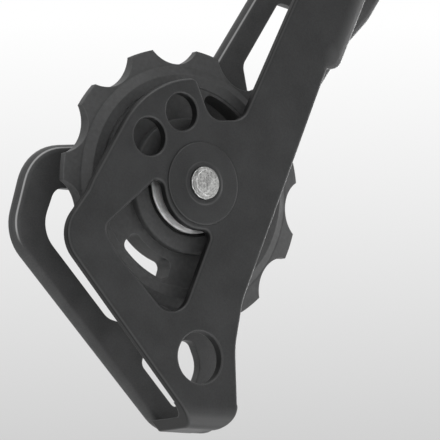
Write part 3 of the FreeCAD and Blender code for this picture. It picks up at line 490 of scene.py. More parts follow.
def surface_group(name: str, grain: Grain) -> bpy.types.ShaderNodeTree:
    """Build the shared group that breaks up a surface.

    Args:
        name: Name of the node group.
        grain: Which pattern the group gives.

    Returns:
        A group with a shade factor, a roughness offset and a height.
    """
    tree = bpy.data.node_groups.new(name, "ShaderNodeTree")
    sockets = (("Vector", "NodeSocketVector"), ("Scale", "NodeSocketFloat"),
               ("Depth", "NodeSocketFloat"))
    for label, kind in sockets:
        tree.interface.new_socket(label, in_out="INPUT", socket_type=kind)
    for label in ("Shade", "Rough", "Height"):
        tree.interface.new_socket(label, in_out="OUTPUT", socket_type="NodeSocketFloat")
    net = NodeNet(tree)
    entry = net.add("NodeGroupInput").outputs
    leave = net.add("NodeGroupOutput").inputs
    place = entry["Vector"]
    broad = net.add("ShaderNodeTexNoise", Detail=2.0, Roughness=0.5)
    net.link(place, broad.inputs["Vector"])
    net.link(net.maths("MULTIPLY", entry["Scale"], BROAD_SHARE), broad.inputs["Scale"])
    fine = net.add("ShaderNodeTexNoise", Detail=3.0, Roughness=0.6)
    net.link(entry["Scale"], fine.inputs["Scale"])
    if grain is Grain.BRUSHED:
        stretch = net.add("ShaderNodeMapping", Scale=BRUSH_STRETCH)
        net.link(place, stretch.inputs["Vector"])
        net.link(stretch.outputs["Vector"], fine.inputs["Vector"])
    elif grain is Grain.TURNED:
        net.link(turned_place(net, place), fine.inputs["Vector"])
    else:
        net.link(place, fine.inputs["Vector"])
    height, heights = fine.outputs[0], NOISE_RANGE
    if grain is Grain.STAKED:
        cells = net.add("ShaderNodeTexVoronoi")
        net.link(place, cells.inputs["Vector"])
        net.link(net.maths("MULTIPLY", entry["Scale"], 0.5), cells.inputs["Scale"])
        height, heights = net.maths("ADD", cells.outputs["Distance"], height), STAKED_RANGE
    spread = SOFT_SPREAD if grain in (Grain.BLASTED, Grain.MOULDED) else HARD_SPREAD
    shade = net.maths("ADD", net.ramp(broad.outputs[0], *NOISE_RANGE, -spread, spread),
                      net.ramp(height, *heights, -spread, spread))
    net.link(net.maths("ADD", shade, 1.0), leave["Shade"])
    net.link(net.ramp(broad.outputs[0], *NOISE_RANGE, *ROUGH_RANGE), leave["Rough"])
    net.link(net.maths("MULTIPLY", height, entry["Depth"]), leave["Height"])
    return tree


@dataclass(frozen=True)
class Rolled:
    """Stretch of a plate's rim that is rolled over broadly, shown by a bent normal and a painted
    highlight.

    The stretch lies above the height low and about a slanting line through point,
    with outward across the line. All lengths are in metres.
    """

    point: tuple[float, float, float]
    outward: tuple[float, float, float]
    radius: float
    low: float
    end: tuple[float, float, float]
    fade: float = 0.3 * MM

    def mask(self, net: NodeNet, place: Socket, reach: tuple[float, float]) -> Socket:
        """Grow a value from 0 to 1 across the stretch.

        Args:
            net: The material's nodes.
            place: The place on the surface.
            reach: Where it starts and where it is whole, in radii of the roll from the line.

        Returns:
            The value, 0 below the stretch.
        """
        away = net.vector_maths("SUBTRACT", place, self.point, "Vector")
        beyond = net.vector_maths("DOT_PRODUCT", away, self.outward)
        near = net.ramp(beyond, *(part * self.radius for part in reach))
        above = net.ramp(net.split(place)["Z"], self.low, self.low + self.fade)
        return net.maths("MULTIPLY", near, above)

    def highlight_mask(self, net: NodeNet, place: Socket) -> Socket:
        """Mask the painted highlight along the roll, most at its rim and at its lower end.

        Args:
            net: The material's nodes.
            place: The place on the surface.

        Returns:
            A value from 0 to 1.
        """
        # Painted highlight across the roll and at its lower end.
        across = net.maths("POWER", self.mask(net, place, ROLL_HIGHLIGHT), ROLL_SPREAD)
        apart = net.vector_maths("DISTANCE", place, self.end)
        end = net.ramp(apart, *(part * self.radius for part in ROLL_END), 0.0, ROLL_END_HIGHLIGHT)
        return net.maths("MAXIMUM", across, end)


@dataclass(frozen=True)
class Finish:
    """One surface finish and how it is mixed.

    highlight_lift is added to the colour as a painted highlight, and edge_highlight_share is the
    share of that on edges. crest_highlight is the same for roundings of a plate, and wall_shade
    paints shade on its walls that face one side.
    """

    name: str
    colour: tuple[float, float, float]
    roughness: float
    grain: Grain
    scale: float = 2500.0
    depth: float = 0.1
    metallic: float = 0.0
    specular: float = 0.5
    highlight_lift: float = 0.0
    easing: float = 0.0004
    wall_shade: float = 1.0
    shaded_side: float = -1.0
    edge_highlight_share: float = 1.0
    crest_highlight: float = 0.0
    crest_low: float = -2.0
    crest_band: tuple[float, float, float, float] = (0.4, 0.6, 0.8, 0.93)
    rolled: Rolled | None = None
    polish: float = 0.08

    def build(self, groups: dict[Grain, bpy.types.ShaderNodeTree],
              centre: Vector) -> bpy.types.Material:
        """Mix the finish as a material.

        Args:
            groups: The shared surface groups by their grain.
            centre: Place that the pattern is measured from, in metres.

        Returns:
            The finished material.
        """
        material = bpy.data.materials.new(self.name)
        material.use_nodes = True
        net = NodeNet(material.node_tree)
        shader = material.node_tree.nodes["Principled BSDF"].inputs
        shader["Metallic"].default_value = self.metallic
        shader["Specular IOR Level"].default_value = self.specular
        where = net.add("ShaderNodeTexCoord").outputs
        pattern = self.pattern(net, groups[self.grain], where["Object"], centre)
        normal = net.eased(self.easing, EASED_SAMPLES)
        # Painted highlights: edges, the rolled rim and a plate's roundings get a lighter colour.
        highlight_mask = self.edge_highlights(net, normal, pattern["Shade"])
        if self.rolled is not None:
            normal = self.rolled_normal(net, where["Object"], normal)
            highlight_mask = net.maths("MAXIMUM", highlight_mask, self.rolled.highlight_mask(net, where["Object"]))
        # Painted highlight on a plate's roundings that do not face right.
        if self.crest_highlight > 0.0:
            highlight_mask = net.maths("MAXIMUM", net.maths("MULTIPLY", highlight_mask, self.edge_highlight_share),
                               self.crest_highlights(net, where["Normal"]))
        plain = net.mix(1.0, (*self.colour, 1.0), pattern["Shade"], blend="MULTIPLY")
        # Painted highlight: the colour is lifted by highlight_lift wherever the highlight mask
        # is, over walls with painted shade.
        highlight_colour = (*(min(1.0, value + self.highlight_lift) for value in self.colour), 1.0)
        net.link(net.mix(highlight_mask, self.shade_walls(net, where["Normal"], plain), highlight_colour),
                 shader["Base Color"])
        rough = net.maths("ADD", pattern["Rough"], self.roughness)
        polished = net.maths("MULTIPLY", highlight_mask, self.polish)
        net.link(net.maths("SUBTRACT", rough, polished), shader["Roughness"])
        bump = net.add("ShaderNodeBump", Strength=0.5, Distance=0.2 * MM)
        net.link(pattern["Height"], bump.inputs["Height"])
        net.link(normal, bump.inputs["Normal"])
        net.link(bump.outputs["Normal"], shader["Normal"])
        return material

    def pattern(self, net: NodeNet, group: bpy.types.ShaderNodeTree, place: Socket,
                centre: Vector) -> bpy.types.bpy_prop_collection:
        """Lay the surface pattern.

        Args:
            net: The material's nodes.
            group: The shared group of the finish's grain.
            place: The place on the surface.
            centre: Place that the pattern is measured from, in metres.

        Returns:
            The outputs Shade, Rough and Height.
        """
        node = net.add("ShaderNodeGroup")
        node.node_tree = group
        node.inputs["Scale"].default_value = self.scale
        node.inputs["Depth"].default_value = self.depth
        shift = net.add("ShaderNodeMapping", Location=-centre)
        net.link(place, shift.inputs["Vector"])
        net.link(shift.outputs["Vector"], node.inputs["Vector"])
        return node.outputs

    def rolled_normal(self, net: NodeNet, place: Socket, normal: Socket) -> Socket:
        """Bend the normal round the rolled stretch of the rim.

        Args:
            net: The material's nodes.
            place: The place on the surface.
            normal: The normal elsewhere.

        Returns:
            The normal.
        """
        broad = net.eased(self.rolled.radius, ROLLED_SAMPLES)
        return net.mix(self.rolled.mask(net, place, ROLL_BEND), normal, broad, kind="VECTOR")

    def crest_highlights(self, net: NodeNet, facing: Socket) -> Socket:
        """Mask a painted highlight on the roundings between a plate's face and its front walls,
        where they do not face right.

        Args:
            net: The material's nodes.
            facing: The normal in the object's own directions.

        Returns:
            A value from 0 to the finish's crest_highlight.
        """
        parts = net.split(facing)
        out = net.maths("MULTIPLY", parts["Y"], -1.0)
        start, full, still, gone = self.crest_band
        band = net.maths("MULTIPLY", net.ramp(out, start, full), net.ramp(out, gone, still))
        front = net.ramp(parts["X"], *FRONT_FACING)
        high = net.ramp(parts["Z"], self.crest_low, self.crest_low + HIGH_FADE)
        line = net.maths("MULTIPLY", band, net.maths("MULTIPLY", front, high))
        return net.maths("MULTIPLY", line, self.crest_highlight)

    def shade_walls(self, net: NodeNet, facing: Socket, colour: Socket) -> Socket:
        """Paint shade on the walls of a plate that face one side.

        Args:
            net: The material's nodes.
            facing: The normal in the object's own directions.
            colour: The colour of the plate.

        Returns:
            The colour with painted shade on those walls.
        """
        if self.wall_shade == 1.0:
            return colour
        # Painted shade: walls that face the shaded side are darkened.
        side = net.maths("MULTIPLY", net.split(facing)["X"], self.shaded_side)
        shade = net.ramp(side, *WALL_FACING, 1.0, self.wall_shade)
        return net.mix(1.0, colour, shade, blend="MULTIPLY")

    @staticmethod
    def edge_highlights(net: NodeNet, eased: Socket, shade: Socket) -> Socket:
        """Mask the edges, where a painted highlight lightens the finish.

        Args:
            net: The material's nodes.
            eased: The normal with rounded edges.
            shade: The surface pattern, which breaks up the mask.

        Returns:
            A value from 0 on open surfaces to 1 on edges.
        """
        flat = net.add("ShaderNodeNewGeometry").outputs["Normal"]
        turn = net.vector_maths("DOT_PRODUCT", eased, flat)
        edge = net.ramp(turn, *EDGE_TURN)
        return net.maths("MULTIPLY", edge, net.ramp(shade, *EDGE_BREAK))


NECK_ROLL = Rolled(point=(-0.005035, 0.0, -0.103879), outward=(0.914, 0.0, -0.406),
                   radius=2.0 * MM, low=-0.1151, end=(-0.0094, 0.00583, -0.1133))


@dataclass
class Palette:
    """All finishes of the derailleur, each built once."""

    # highlight_lift, crest_highlight and wall_shade below paint highlights and shade into the
    # colours.
    cast_black: Finish = Finish("cast_black", (0.027, 0.0275, 0.028), 0.42, Grain.BLASTED,
                                3500.0, specular=0.3, highlight_lift=0.035)
    # Painted highlight on the outer plate's edges, roundings and rolled neck rim, and painted
    # shade on its walls that face left.
    plate_black: Finish = Finish("plate_black", (0.0255, 0.026, 0.0265), 0.44, Grain.BLASTED,
                                 4200.0, specular=0.3, highlight_lift=0.06, easing=0.00028,
                                 wall_shade=0.3, crest_highlight=0.45, rolled=NECK_ROLL)
    # Painted light: the guard's black is lighter than the outer plate's to make up for the shade
    # it lies in. It also gets a painted highlight on its crest and painted shade on walls that
    # face right.
    guard_black: Finish = Finish("guard_black", (0.058, 0.0585, 0.059), 0.44, Grain.BLASTED,
                                 4200.0, specular=0.3, highlight_lift=0.4, easing=0.0003,
                                 wall_shade=0.35, shaded_side=1.0, edge_highlight_share=0.12, crest_highlight=0.8,
                                 crest_low=-0.3, crest_band=(0.72, 0.78, 0.84, 0.9))
    resin: Finish = Finish("pulley_resin", (0.056, 0.0565, 0.057), 0.5, Grain.MOULDED,
                           1600.0, specular=0.35, highlight_lift=0.05, easing=0.0003)
    dark_resin: Finish = Finish("barrel_resin", (0.030, 0.031, 0.033), 0.50, Grain.MOULDED,
                                1600.0)
    zinc: Finish = Finish("zinc_steel", (0.60, 0.60, 0.58), 0.34, Grain.BLASTED, 2600.0,
                          metallic=1.0)
    cap: Finish = Finish("cap_steel", (0.56, 0.56, 0.56), 0.5, Grain.TURNED, 9000.0, 0.6,
                         metallic=1.0)
    # Painted highlight round the staked end's rim, on roundings that do not face right.
    staked: Finish = Finish("staked_steel", (0.31, 0.31, 0.305), 0.4, Grain.STAKED, 5200.0,
                            2.0, metallic=1.0, highlight_lift=0.5, easing=0.00005, edge_highlight_share=0.0, crest_highlight=1.0,
                            crest_band=(0.0, 0.15, 0.85, 0.95))
    spring: Finish = Finish("spring_wire", (0.32, 0.33, 0.34), 0.28, Grain.BRUSHED, 3000.0,
                            metallic=1.0)
    rubber: Finish = Finish("seal_rubber", (0.020, 0.020, 0.020), 0.62, Grain.MOULDED, 3000.0)
    bolt_black: Finish = Finish("bolt_black", (0.028, 0.028, 0.030), 0.34, Grain.BLASTED,
                                2600.0, metallic=0.4)
    built: dict[str, bpy.types.Material] = field(default_factory=dict)

    def __post_init__(self) -> None:
        """Build the shared surface groups."""
        self.groups = {grain: surface_group("surface_" + grain.value, grain) for grain in Grain}

    def dress(self, piece: bpy.types.Object, finish: Finish, centre: Vector = ORIGIN) -> None:
        """Give a piece one finish.

        Args:
            piece: The mesh to dress.
            finish: Its finish.
            centre: Place that turned marks run round, in metres.
        """
        key = f"{finish.name}_{centre.x:.4f}_{centre.z:.4f}"
        if key not in self.built:
            self.built[key] = finish.build(self.groups, centre)
        piece.data.materials.clear()
        piece.data.materials.append(self.built[key])


@dataclass
class Carried:
    """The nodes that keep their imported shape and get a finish."""

    frame: dict
    palette: Palette

    def finishes(self) -> dict[str, Finish]:
        """List the finish of each carried node."""
        look = self.palette
        wearers = (
            (look.cast_black, ("mounting_knuckle", "outer_link", "inner_link", "cage_knuckle")),
            (look.zinc, ("stop_plate", "knuckle_bush", "high_limit_screw", "low_limit_screw",
                         "angle_screw", "upper_link_pins", "lower_link_pins",
                         "cable_clamp_plate", "cable_clamp_bolt", "cage_axle",
                         "cage_stop_pin", "guide_bush", "tension_bush")),
            (look.spring, ("hanger_circlip", "knuckle_spring", "barrel_spring", "cage_spring")),
            (look.dark_resin, ("barrel_adjuster",)),
            (look.plate_black, ("outer_cage_plate",)),
            (look.guard_black, ("inner_cage_plate",)),
            (look.resin, ("guide_pulley", "tension_pulley")),
            (look.rubber, ("cage_seal",)),
        )
        return {name: finish for finish, names in wearers for name in names}

    def build(self) -> None:
        """Dress each carried node."""
        for name, finish in self.finishes().items():
            self.palette.dress(self.frame["nodes"][name], finish)
            LOG.info("%s wears %s", name, finish.name)


class Piece(ABC):
    """A piece that is modelled here, or a pair of them."""

    @abstractmethod
    def build(self, frame: dict, palette: Palette) -> list[bpy.types.Object]:
        """Model, dress and seat the piece.

        Args:
            palette: The finishes.

        Returns:
            What was made.
        """


@dataclass
class RivetedAxle(Piece):
    """Axle of a pulley: shaft, staked outboard end and broad inboard head.

    Proud is how far the staked end stands out of the plate, packed_proud how far it does in
    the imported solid.
    """

    node: str
    joint: Joint
    proud: float = 0.5
    shaft_radius: float = 2.25
    hole_radius: float = 2.3
    head_sink: float = 0.5
    packed_proud: float = 0.5
    back_radius: float = 3.35
    back_proud: float = 0.5
    rough_from: float = 0.8
    rough_depth: float = 0.03
    rough_seed: int = 7

    def staked(self) -> list[tuple[float, float]]:
        """List the rings of the staked end, their heights as shares of proud."""
        rim = [(2.3, 0.2), (2.45, 0.34), (2.5, 0.46), (2.48, 0.54), (2.41, 0.61), (2.3, 0.63),
               (2.2, 0.6), (2.12, 0.62), (2.08, 0.74), (2.05, 0.88), (2.0, 0.96), (1.93, 1.0),
               (1.84, 0.98)]
        return rim + [(radius, 0.95) for radius in (1.7, 1.5, 1.3, 1.1, 0.9, 0.7, 0.5, 0.3, 0.12)]

    def profile(self, low: float, high: float) -> list[tuple[float, float]]:
        """List the rings from the inboard head to the staked end.

        Args:
            low: Height of the inboard end.
            high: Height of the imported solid's outboard end.

        Returns:
            The rings.
        """
        back, seat = self.back_radius, low + self.back_proud
        face = high - self.packed_proud
        return [
            (0.9, low + 0.12), (1.7, low + 0.08), (back - 0.55, low), (back - 0.2, low + 0.06),
            (back, low + 0.25), (back, seat), (self.shaft_radius, seat),
            (self.shaft_radius, face - self.head_sink),
            (self.hole_radius, face - self.head_sink),
            *((radius, face + part * self.proud) for radius, part in self.staked()),
        ]

    def build(self, frame: dict, palette: Palette) -> list[bpy.types.Object]:
        """Turn the axle and stake its end."""
        centre = joint_place(frame, self.joint)
        lowest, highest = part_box(self.node)
        low, high = (centre.y - highest[1]) / MM, (centre.y - lowest[1]) / MM
        piece = Lathe(centre).turn(self.node + "_staked", self.profile(low, high))
        face = centre.y - (high - self.packed_proud + self.rough_from * self.proud) * MM
        roughen(piece, lambda vertex: vertex.co.y < face, self.rough_depth * MM, self.rough_seed)
        palette.dress(piece, palette.staked)
        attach(piece, "cage")
        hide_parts(self.node)
        return [piece]


@dataclass
class DustCaps(Piece):
    """Two stepped steel caps that cover a pulley's bush from both sides."""

    node: str
    joint: Joint
    body: str
    bush_radius: float = 4.05
    neck_radius: float = 4.5
    rim_radius: float = 7.35
    thickness: float = 0.45
    top: float = 3.95
    seat: float = 2.95

    def profile(self) -> list[tuple[float, float]]:
        """List the rings of one cap's section."""
        high = self.seat + self.thickness
        neck, bush, rim = self.neck_radius, self.bush_radius, self.rim_radius
        return [
            (rim, self.seat + 0.1), (rim, high - 0.12), (rim - 0.05, high - 0.04),
            (rim - 0.14, high), (neck + 0.5, high), (neck + 0.2, high + 0.05),
            (neck + 0.05, high + 0.25), (neck, self.top - 0.2), (neck - 0.06, self.top - 0.05),
            (neck - 0.16, self.top), (bush + 0.08, self.top), (bush, self.top - 0.08),
            (bush, self.seat + 0.08), (bush + 0.08, self.seat), (rim - 0.1, self.seat),
        ]

    def build(self, frame: dict, palette: Palette) -> list[bpy.types.Object]:
        """Turn a cap for each face of the pulley."""
        centre = joint_place(frame, self.joint)
        made = []
        for side, lathe in face_lathes(centre):
            cap = lathe.turn(f"{self.node}_{side}", self.profile(), hollow=True)
            palette.dress(cap, palette.cap, centre)
            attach(cap, self.body)
            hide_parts(self.node)
            made.append(cap)
        return made


@dataclass
class HangerBolt(Piece):
    """Hanger bolt: head with a hexagon socket, necked shank and wound thread.

    Heights run outboard from the face that seats on the hanger, and the thread lies below.
    """

    head_radius: float = 8.2
    head_height: float = 2.8
    head_out: float = 24.25
    mouth_radius: float = 4.6
    shank_radius: float = 5.6
    groove: tuple[float, float] = (3.8, 2.8)
    groove_depth: float = 0.6
    relief_radius: float = 4.8
    thread_radius: float = 5.0
    thread_length: float = 9.0
    thread_ends: float = 1.6
    thread_start: float = 0.6
    pitch: float = 1.0
    key: float = 5.0
    key_depth: float = 3.2

    def profile(self) -> list[tuple[float, float]]:
        """List the rings from the head to the thread's tip."""
        head, top, low = self.head_radius, self.head_out, self.head_out - self.head_height
        neck, root = self.shank_radius, self.thread_radius - THREAD_DEPTH * self.pitch
        groove_out, groove_in = self.groove
        return [
            (self.mouth_radius, top - 0.12), (self.mouth_radius + 0.3, top), (head - 1.5, top),
            (head - 0.75, top - 0.14), (head - 0.25, top - 0.5), (head, top - 1.1),
            (head, low + 0.15), (head - 0.15, low), (neck, low), (neck, groove_out),
            (neck - self.groove_depth, groove_out), (neck - self.groove_depth, groove_in),
            (self.relief_radius, groove_in), (self.relief_radius, 0.3), (root, 0.0),
            (root, 0.7 - self.thread_length), (root - 0.6, -self.thread_length),
            (0.4, -self.thread_length),
        ]

    def socket(self, bolt: bpy.types.Object) -> None:
        """Cut the hexagon socket into the head.

        Args:
            bolt: The bolt, its axis along y through the origin.
        """
        start_clean()
        across = self.key / math.sqrt(3.0)
        bpy.ops.mesh.primitive_cylinder_add(
            vertices=6, radius=across * MM, depth=2.0 * self.key_depth * MM,
            location=(0.0, -self.head_out * MM, 0.0), rotation=(math.pi / 2.0, 0.0, 0.0))
        cutter = bpy.context.object
        pick(bolt)
        cut = bolt.modifiers.new("socket", "BOOLEAN")
        cut.operation = "DIFFERENCE"
        cut.object = cutter
        bpy.ops.object.modifier_apply(modifier=cut.name)
        bpy.data.objects.remove(cutter)

    def build(self, frame: dict, palette: Palette) -> list[bpy.types.Object]:
        """Turn the bolt, cut its socket and wind its thread."""
        centre = joint_place(frame, Joint.MOUNTING)
        bolt = Lathe(centre, segments=64).turn("hanger_bolt_threaded", self.profile())
        self.socket(bolt)
        ridge = thread(centre + Vector((0.0, self.thread_start * MM, 0.0)), self.thread_radius,
                       self.pitch, self.thread_length - self.thread_ends)
        pick(ridge, bolt)
        bpy.ops.object.join()
        bpy.ops.object.shade_smooth_by_angle(angle=BOLT_CREASE)
        palette.dress(bolt, palette.bolt_black)
        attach(bolt, "hanger")
        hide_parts("hanger_bolt")
        return [bolt]


@dataclass
class ReturnSpring(Piece):
    """Extension spring across the links, one wire with a hook round a pin at each end.

    It follows the inner link.
    """

    wire_radius: float = 0.7
    coil_radius: float = 2.6
    eye_radius: float = 2.8
    eye_points: int = 8
    eye_step: float = 35.0
    lead: float = 6.2
    far_lead: float = 11.5
    turns: int = 10
    steps: int = 10
    bend_from: float = 1.5
    bend_to: float = 7.5

    def eye(self, height: float, sense: float) -> list[Vector]:
        """List the points of a hook's eye, from the plain lead round the pin.

        Args:
            height: Height of the pin.
            sense: 1 for the eye at the far end, -1 for the one at the start.

        Returns:
            The points, in millimetres.
        """
        points = []
        for step in range(self.eye_points):
            angle = math.radians(self.eye_step * step)
            points.append(Vector((self.eye_radius * math.cos(angle), 0.0,
                                  height + sense * self.eye_radius * math.sin(angle))))
        return points

    def route(self, length: float) -> list[Vector]:
        """List the points of the whole wire.

        Args:
            length: Distance between the pins, which lie along z.

        Returns:
            The points, in millimetres.
        """
        rise = (length - self.lead - self.far_lead) / (self.turns * self.steps)
        winding = []
        for step in range(self.turns * self.steps + 1):
            angle = 2.0 * math.pi * step / self.steps
            winding.append(Vector((self.coil_radius * math.cos(angle),
                                   self.coil_radius * math.sin(angle),
                                   self.lead + rise * step)))
        return self.eye(0.0, -1.0)[::-1] + winding + self.eye(length, 1.0)

    def draw(self, points: list[Vector]) -> bpy.types.Object:
        """Draw a round wire along points and turn it into a mesh.

        Args:
            points: The points, in millimetres.

        Returns:
            The wire, selected and active.
        """
        start_clean()
        bpy.ops.curve.primitive_nurbs_path_add()
        wire = bpy.context.object
        wire.name = "return_spring_wire"
        wire.data.splines.clear()
        spline = wire.data.splines.new("NURBS")
        spline.points.add(len(points) - 1)
        for point, place in zip(spline.points, points):
            point.co = (*(place * MM), 1.0)
        spline.order_u = 3
        spline.use_endpoint_u = True
        spline.resolution_u = 3
        wire.data.bevel_depth = self.wire_radius * MM
        wire.data.bevel_resolution = 3
        wire.data.use_fill_caps = True
        bpy.ops.object.convert(target="MESH")
        return bpy.context.object

    def build(self, frame: dict, palette: Palette) -> list[bpy.types.Object]:
        """Wind the wire and let it follow the inner link."""
        start = joint_place(frame, Joint.OUTER_LINK)
        end = joint_place(frame, Joint.LOWER_LINK) + joint_place(frame, Joint.INNER_LINK) - start
        along = (end - start).normalized()
        pin = Vector(joint_entry(frame, Joint.OUTER_LINK)["axis"]).normalized()
        turn = Matrix((pin.cross(along), pin, along)).transposed().to_4x4()
        wire = self.draw(self.route((end - start).length / MM))
        wire.matrix_world = Matrix.Translation(start) @ turn
        settle()
        edit_whole()
        close_edit(WIRE_CREASE, merge=True)
        palette.dress(wire, palette.spring)
        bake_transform(wire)
        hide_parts("return_spring")
        return [wire]


@dataclass
class HubRings(Piece):
    """Raised rings of a pulley's hub, one on each face, round the dust caps."""

    name: str
    joint: Joint
    body: str
    outer_radius: float = 10.4
    inner_radius: float = 7.8
    face: float = 3.1
    foot: float = 1.6

    def profile(self) -> list[tuple[float, float]]:
        """List the rings of the hub ring's section."""
        outer, inner, face = self.outer_radius, self.inner_radius, self.face
        return [
            (outer, self.foot), (outer, face - 0.35), (outer - 0.06, face - 0.15),
            (outer - 0.16, face - 0.04), (outer - 0.3, face), (inner + 0.22, face),
            (inner + 0.08, face - 0.04), (inner, face - 0.16), (inner, self.foot),
        ]

    def build(self, frame: dict, palette: Palette) -> list[bpy.types.Object]:
        """Turn a ring for each face of the hub."""
        made = []
        for side, lathe in face_lathes(joint_place(frame, self.joint)):
            ring = lathe.turn(f"{self.name}_{side}", self.profile(), hollow=True)
            palette.dress(ring, palette.resin)
            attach(ring, self.body)
            made.append(ring)
        return made


@dataclass
class PlateBoss(Piece):
    """Low round boss on the outer plate, with a collar about the riveted axle."""

    plate_face: float = 6.17
    radius: float = 6.38
    height: float = 0.3
    collar_radius: float = 3.3
    collar_height: float = 0.2
    bore_radius: float = 2.36

    def profile(self) -> list[tuple[float, float]]:
        """List the rings of the boss's section."""
        base, top, rim = self.plate_face, self.plate_face + self.height, self.radius
        collar, crown = self.collar_radius, self.plate_face + self.height + self.collar_height
        return [
            (rim, base - 0.1), (rim - 0.02, base + 0.05), (rim - 0.09, top - 0.1),
            (rim - 0.2, top - 0.02), (rim - 0.34, top), (collar + 0.2, top),
            (collar + 0.05, top + 0.03), (collar - 0.05, crown - 0.08), (collar - 0.18, crown),
            (collar - 0.35, crown + 0.02), (2.62, crown), (2.5, top + 0.1),
            (self.bore_radius, top - 0.1), (self.bore_radius, base - 0.12),
        ]

    def build(self, frame: dict, palette: Palette) -> list[bpy.types.Object]:
        """Turn the boss."""
        lathe = Lathe(joint_place(frame, Joint.TENSION))
        boss = lathe.turn("outer_plate_boss", self.profile(), hollow=True)
        palette.dress(boss, palette.plate_black)
        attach(boss, "cage")
        return [boss]


@dataclass(frozen=True)
class Lamp:
    """Soft square lamp, its place and what it faces counted from the tension pulley."""

    name: str
    place: tuple[float, float, float]
    size: float
    power: float
    aim: tuple[float, float, float] = (0.0, 0.0, 0.0)

    def hang(self, centre: Vector) -> None:
        """Hang the lamp.

        Args:
            centre: Place of the tension pulley.
        """
        data = bpy.data.lights.new(self.name, "AREA")
        data.size = self.size
        data.energy = self.power
        lamp = bpy.data.objects.new(self.name, data)
        lamp.location = centre + Vector(self.place)
        lamp.rotation_mode = "QUATERNION"
        way = Vector(self.aim) - Vector(self.place)
        lamp.rotation_quaternion = way.to_track_quat("-Z", "Y")
        bpy.context.scene.collection.objects.link(lamp)


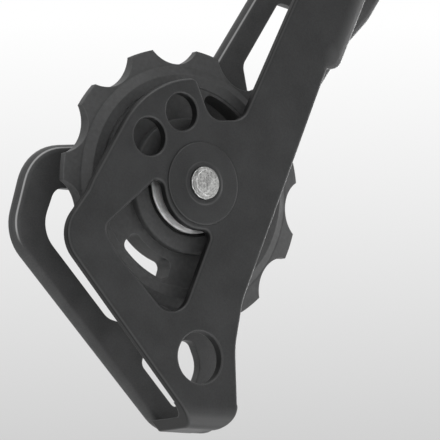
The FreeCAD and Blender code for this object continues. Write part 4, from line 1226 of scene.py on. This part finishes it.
@dataclass
class Studio:
    """Camera, floor, backdrop and lamps."""

    centre: Vector
    azimuth: float = -34.44
    elevation: float = -7.455
    eye: tuple[float, float, float] = (-0.42169, -0.62571, -0.10363)
    lens: float = 409.63
    sensor: float = 36.0
    sight: float = 50.0
    floor_size: float = 8.0
    floor_drop: float = 0.128
    grading: tuple[float, float] = (4.9, 9.7)
    backdrop_low: float = 0.64
    room_light: float = 0.62
    dark_front: float = 0.8
    dark_left: float = 0.7
    lamps: tuple[Lamp, ...] = (
        Lamp("left_lamp", (-1.13, -0.77, 0.18), 0.5, 3.0),
        Lamp("top_lamp", (0.1, -0.3, 1.2), 0.8, 5.0),
        Lamp("rear_lamp", (1.0, 0.7, 0.1), 0.6, 6.0),
        Lamp("right_lamp", (1.1, -0.3, 0.08), 0.35, 1.8),
        Lamp("floor_lamp", (0.15, -0.15, -0.05), 0.3, 0.5, (0.15, -0.15, -1.0)),
    )

    def towards_camera(self) -> Vector:
        """Find the direction against which the camera looks."""
        turn, tilt = math.radians(self.azimuth), math.radians(self.elevation)
        return Vector((math.sin(turn) * math.cos(tilt), -math.cos(turn) * math.cos(tilt),
                       math.sin(tilt)))

    def camera(self) -> None:
        """Set the camera at the photograph's viewing angle."""
        data = bpy.data.cameras.new("camera")
        data.lens = self.lens
        data.sensor_width = self.sensor
        data.clip_end = self.sight
        eye = bpy.data.objects.new("camera", data)
        eye.location = self.centre + Vector(self.eye)
        eye.rotation_mode = "QUATERNION"
        eye.rotation_quaternion = (-self.towards_camera()).to_track_quat("-Z", "Y")
        bpy.context.scene.collection.objects.link(eye)
        bpy.context.scene.camera = eye

    def floor(self) -> None:
        """Lay a pale floor below the camera, open to views from beneath."""
        start_clean()
        low = self.centre.z - self.floor_drop
        bpy.ops.mesh.primitive_plane_add(size=self.floor_size, location=(0.0, 0.0, low))
        plane = bpy.context.object
        plane.name = "studio_floor"
        plane.data.transform(Matrix.Translation(plane.location))
        plane.location = (0.0, 0.0, 0.0)
        material = bpy.data.materials.new("studio_floor")
        material.use_nodes = True
        nodes = material.node_tree.nodes
        net = NodeNet(material.node_tree)
        shader = nodes["Principled BSDF"]
        shader.inputs["Base Color"].default_value = (0.80, 0.80, 0.80, 1.0)
        shader.inputs["Roughness"].default_value = 0.9
        below = net.add("ShaderNodeNewGeometry").outputs["Backfacing"]
        clear = net.add("ShaderNodeBsdfTransparent")
        self.join(net, below, shader, clear, nodes["Material Output"])
        plane.data.materials.append(material)

    @staticmethod
    def join(net: NodeNet, factor: Socket, first: bpy.types.Node,
             second: bpy.types.Node, output: bpy.types.Node) -> None:
        """Mix two shaders into an output.

        Args:
            net: The tree's nodes.
            factor: The share of the second shader.
            first: The first shader.
            second: The second shader.
            output: The tree's output.
        """
        mix = net.add("ShaderNodeMixShader")
        net.link(factor, mix.inputs[0])
        net.link(first.outputs[0], mix.inputs[1])
        net.link(second.outputs[0], mix.inputs[2])
        net.link(mix.outputs[0], output.inputs[0])

    def world(self) -> None:
        """Light the room evenly and show a pale grading behind the object."""
        world = bpy.data.worlds.new("studio")
        bpy.context.scene.world = world
        world.use_nodes = True
        nodes = world.node_tree.nodes
        net = NodeNet(world.node_tree)
        way = net.split(net.add("ShaderNodeTexCoord").outputs["Generated"])
        low, high = (math.sin(math.radians(angle)) for angle in self.grading)
        shade = net.ramp(way["Z"], low, high, self.backdrop_low, 1.0)
        front = net.ramp(way["Y"], *FRONT_RANGE, self.dark_front, 1.0)
        left = net.ramp(way["X"], *LEFT_RANGE, self.dark_left, 1.0)
        light = nodes["Background"]
        light.inputs["Strength"].default_value = self.room_light
        net.link(left, light.inputs["Color"])
        path = net.add("ShaderNodeLightPath").outputs
        glossy = path["Is Glossy Ray"]
        mirrored = net.maths("MULTIPLY", net.maths("MULTIPLY", front, left), glossy)
        dimmed = net.maths("ADD", mirrored, net.maths("SUBTRACT", 1.0, glossy))
        seen = net.add("ShaderNodeBackground")
        net.link(net.maths("MULTIPLY", shade, dimmed), seen.inputs["Color"])
        looks = net.maths("MAXIMUM", path["Is Camera Ray"], path["Is Transmission Ray"])
        self.join(net, net.maths("MAXIMUM", looks, glossy), light, seen, nodes["World Output"])

    def build(self) -> None:
        """Set up the whole studio."""
        bpy.context.scene.view_settings.view_transform = "Standard"
        self.camera()
        self.floor()
        self.world()
        for lamp in self.lamps:
            lamp.hang(self.centre)


def main() -> None:
    """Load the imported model, dress it and light it."""
    logging.basicConfig(level=logging.INFO, format="%(name)s: %(message)s")
    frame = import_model()
    palette = Palette()
    Studio(joint_place(frame, Joint.TENSION)).build()
    Carried(frame, palette).build()
    pieces: tuple[Piece, ...] = (
        RivetedAxle("tension_axle", Joint.TENSION, proud=1.4),
        RivetedAxle("guide_axle", Joint.GUIDE),
        HangerBolt(),
        PlateBoss(),
        ReturnSpring(),
        HubRings("tension_hub_ring", Joint.TENSION, "tension_wheel"),
        HubRings("guide_hub_ring", Joint.GUIDE, "guide_wheel"),
        DustCaps("tension_dust_caps", Joint.TENSION, "tension_wheel"),
        DustCaps("guide_dust_caps", Joint.GUIDE, "guide_wheel"),
    )
    for piece in pieces:
        made = piece.build(frame, palette)
        LOG.info("made %s", ", ".join(part.name for part in made))


if __name__ == "__main__":
    main()
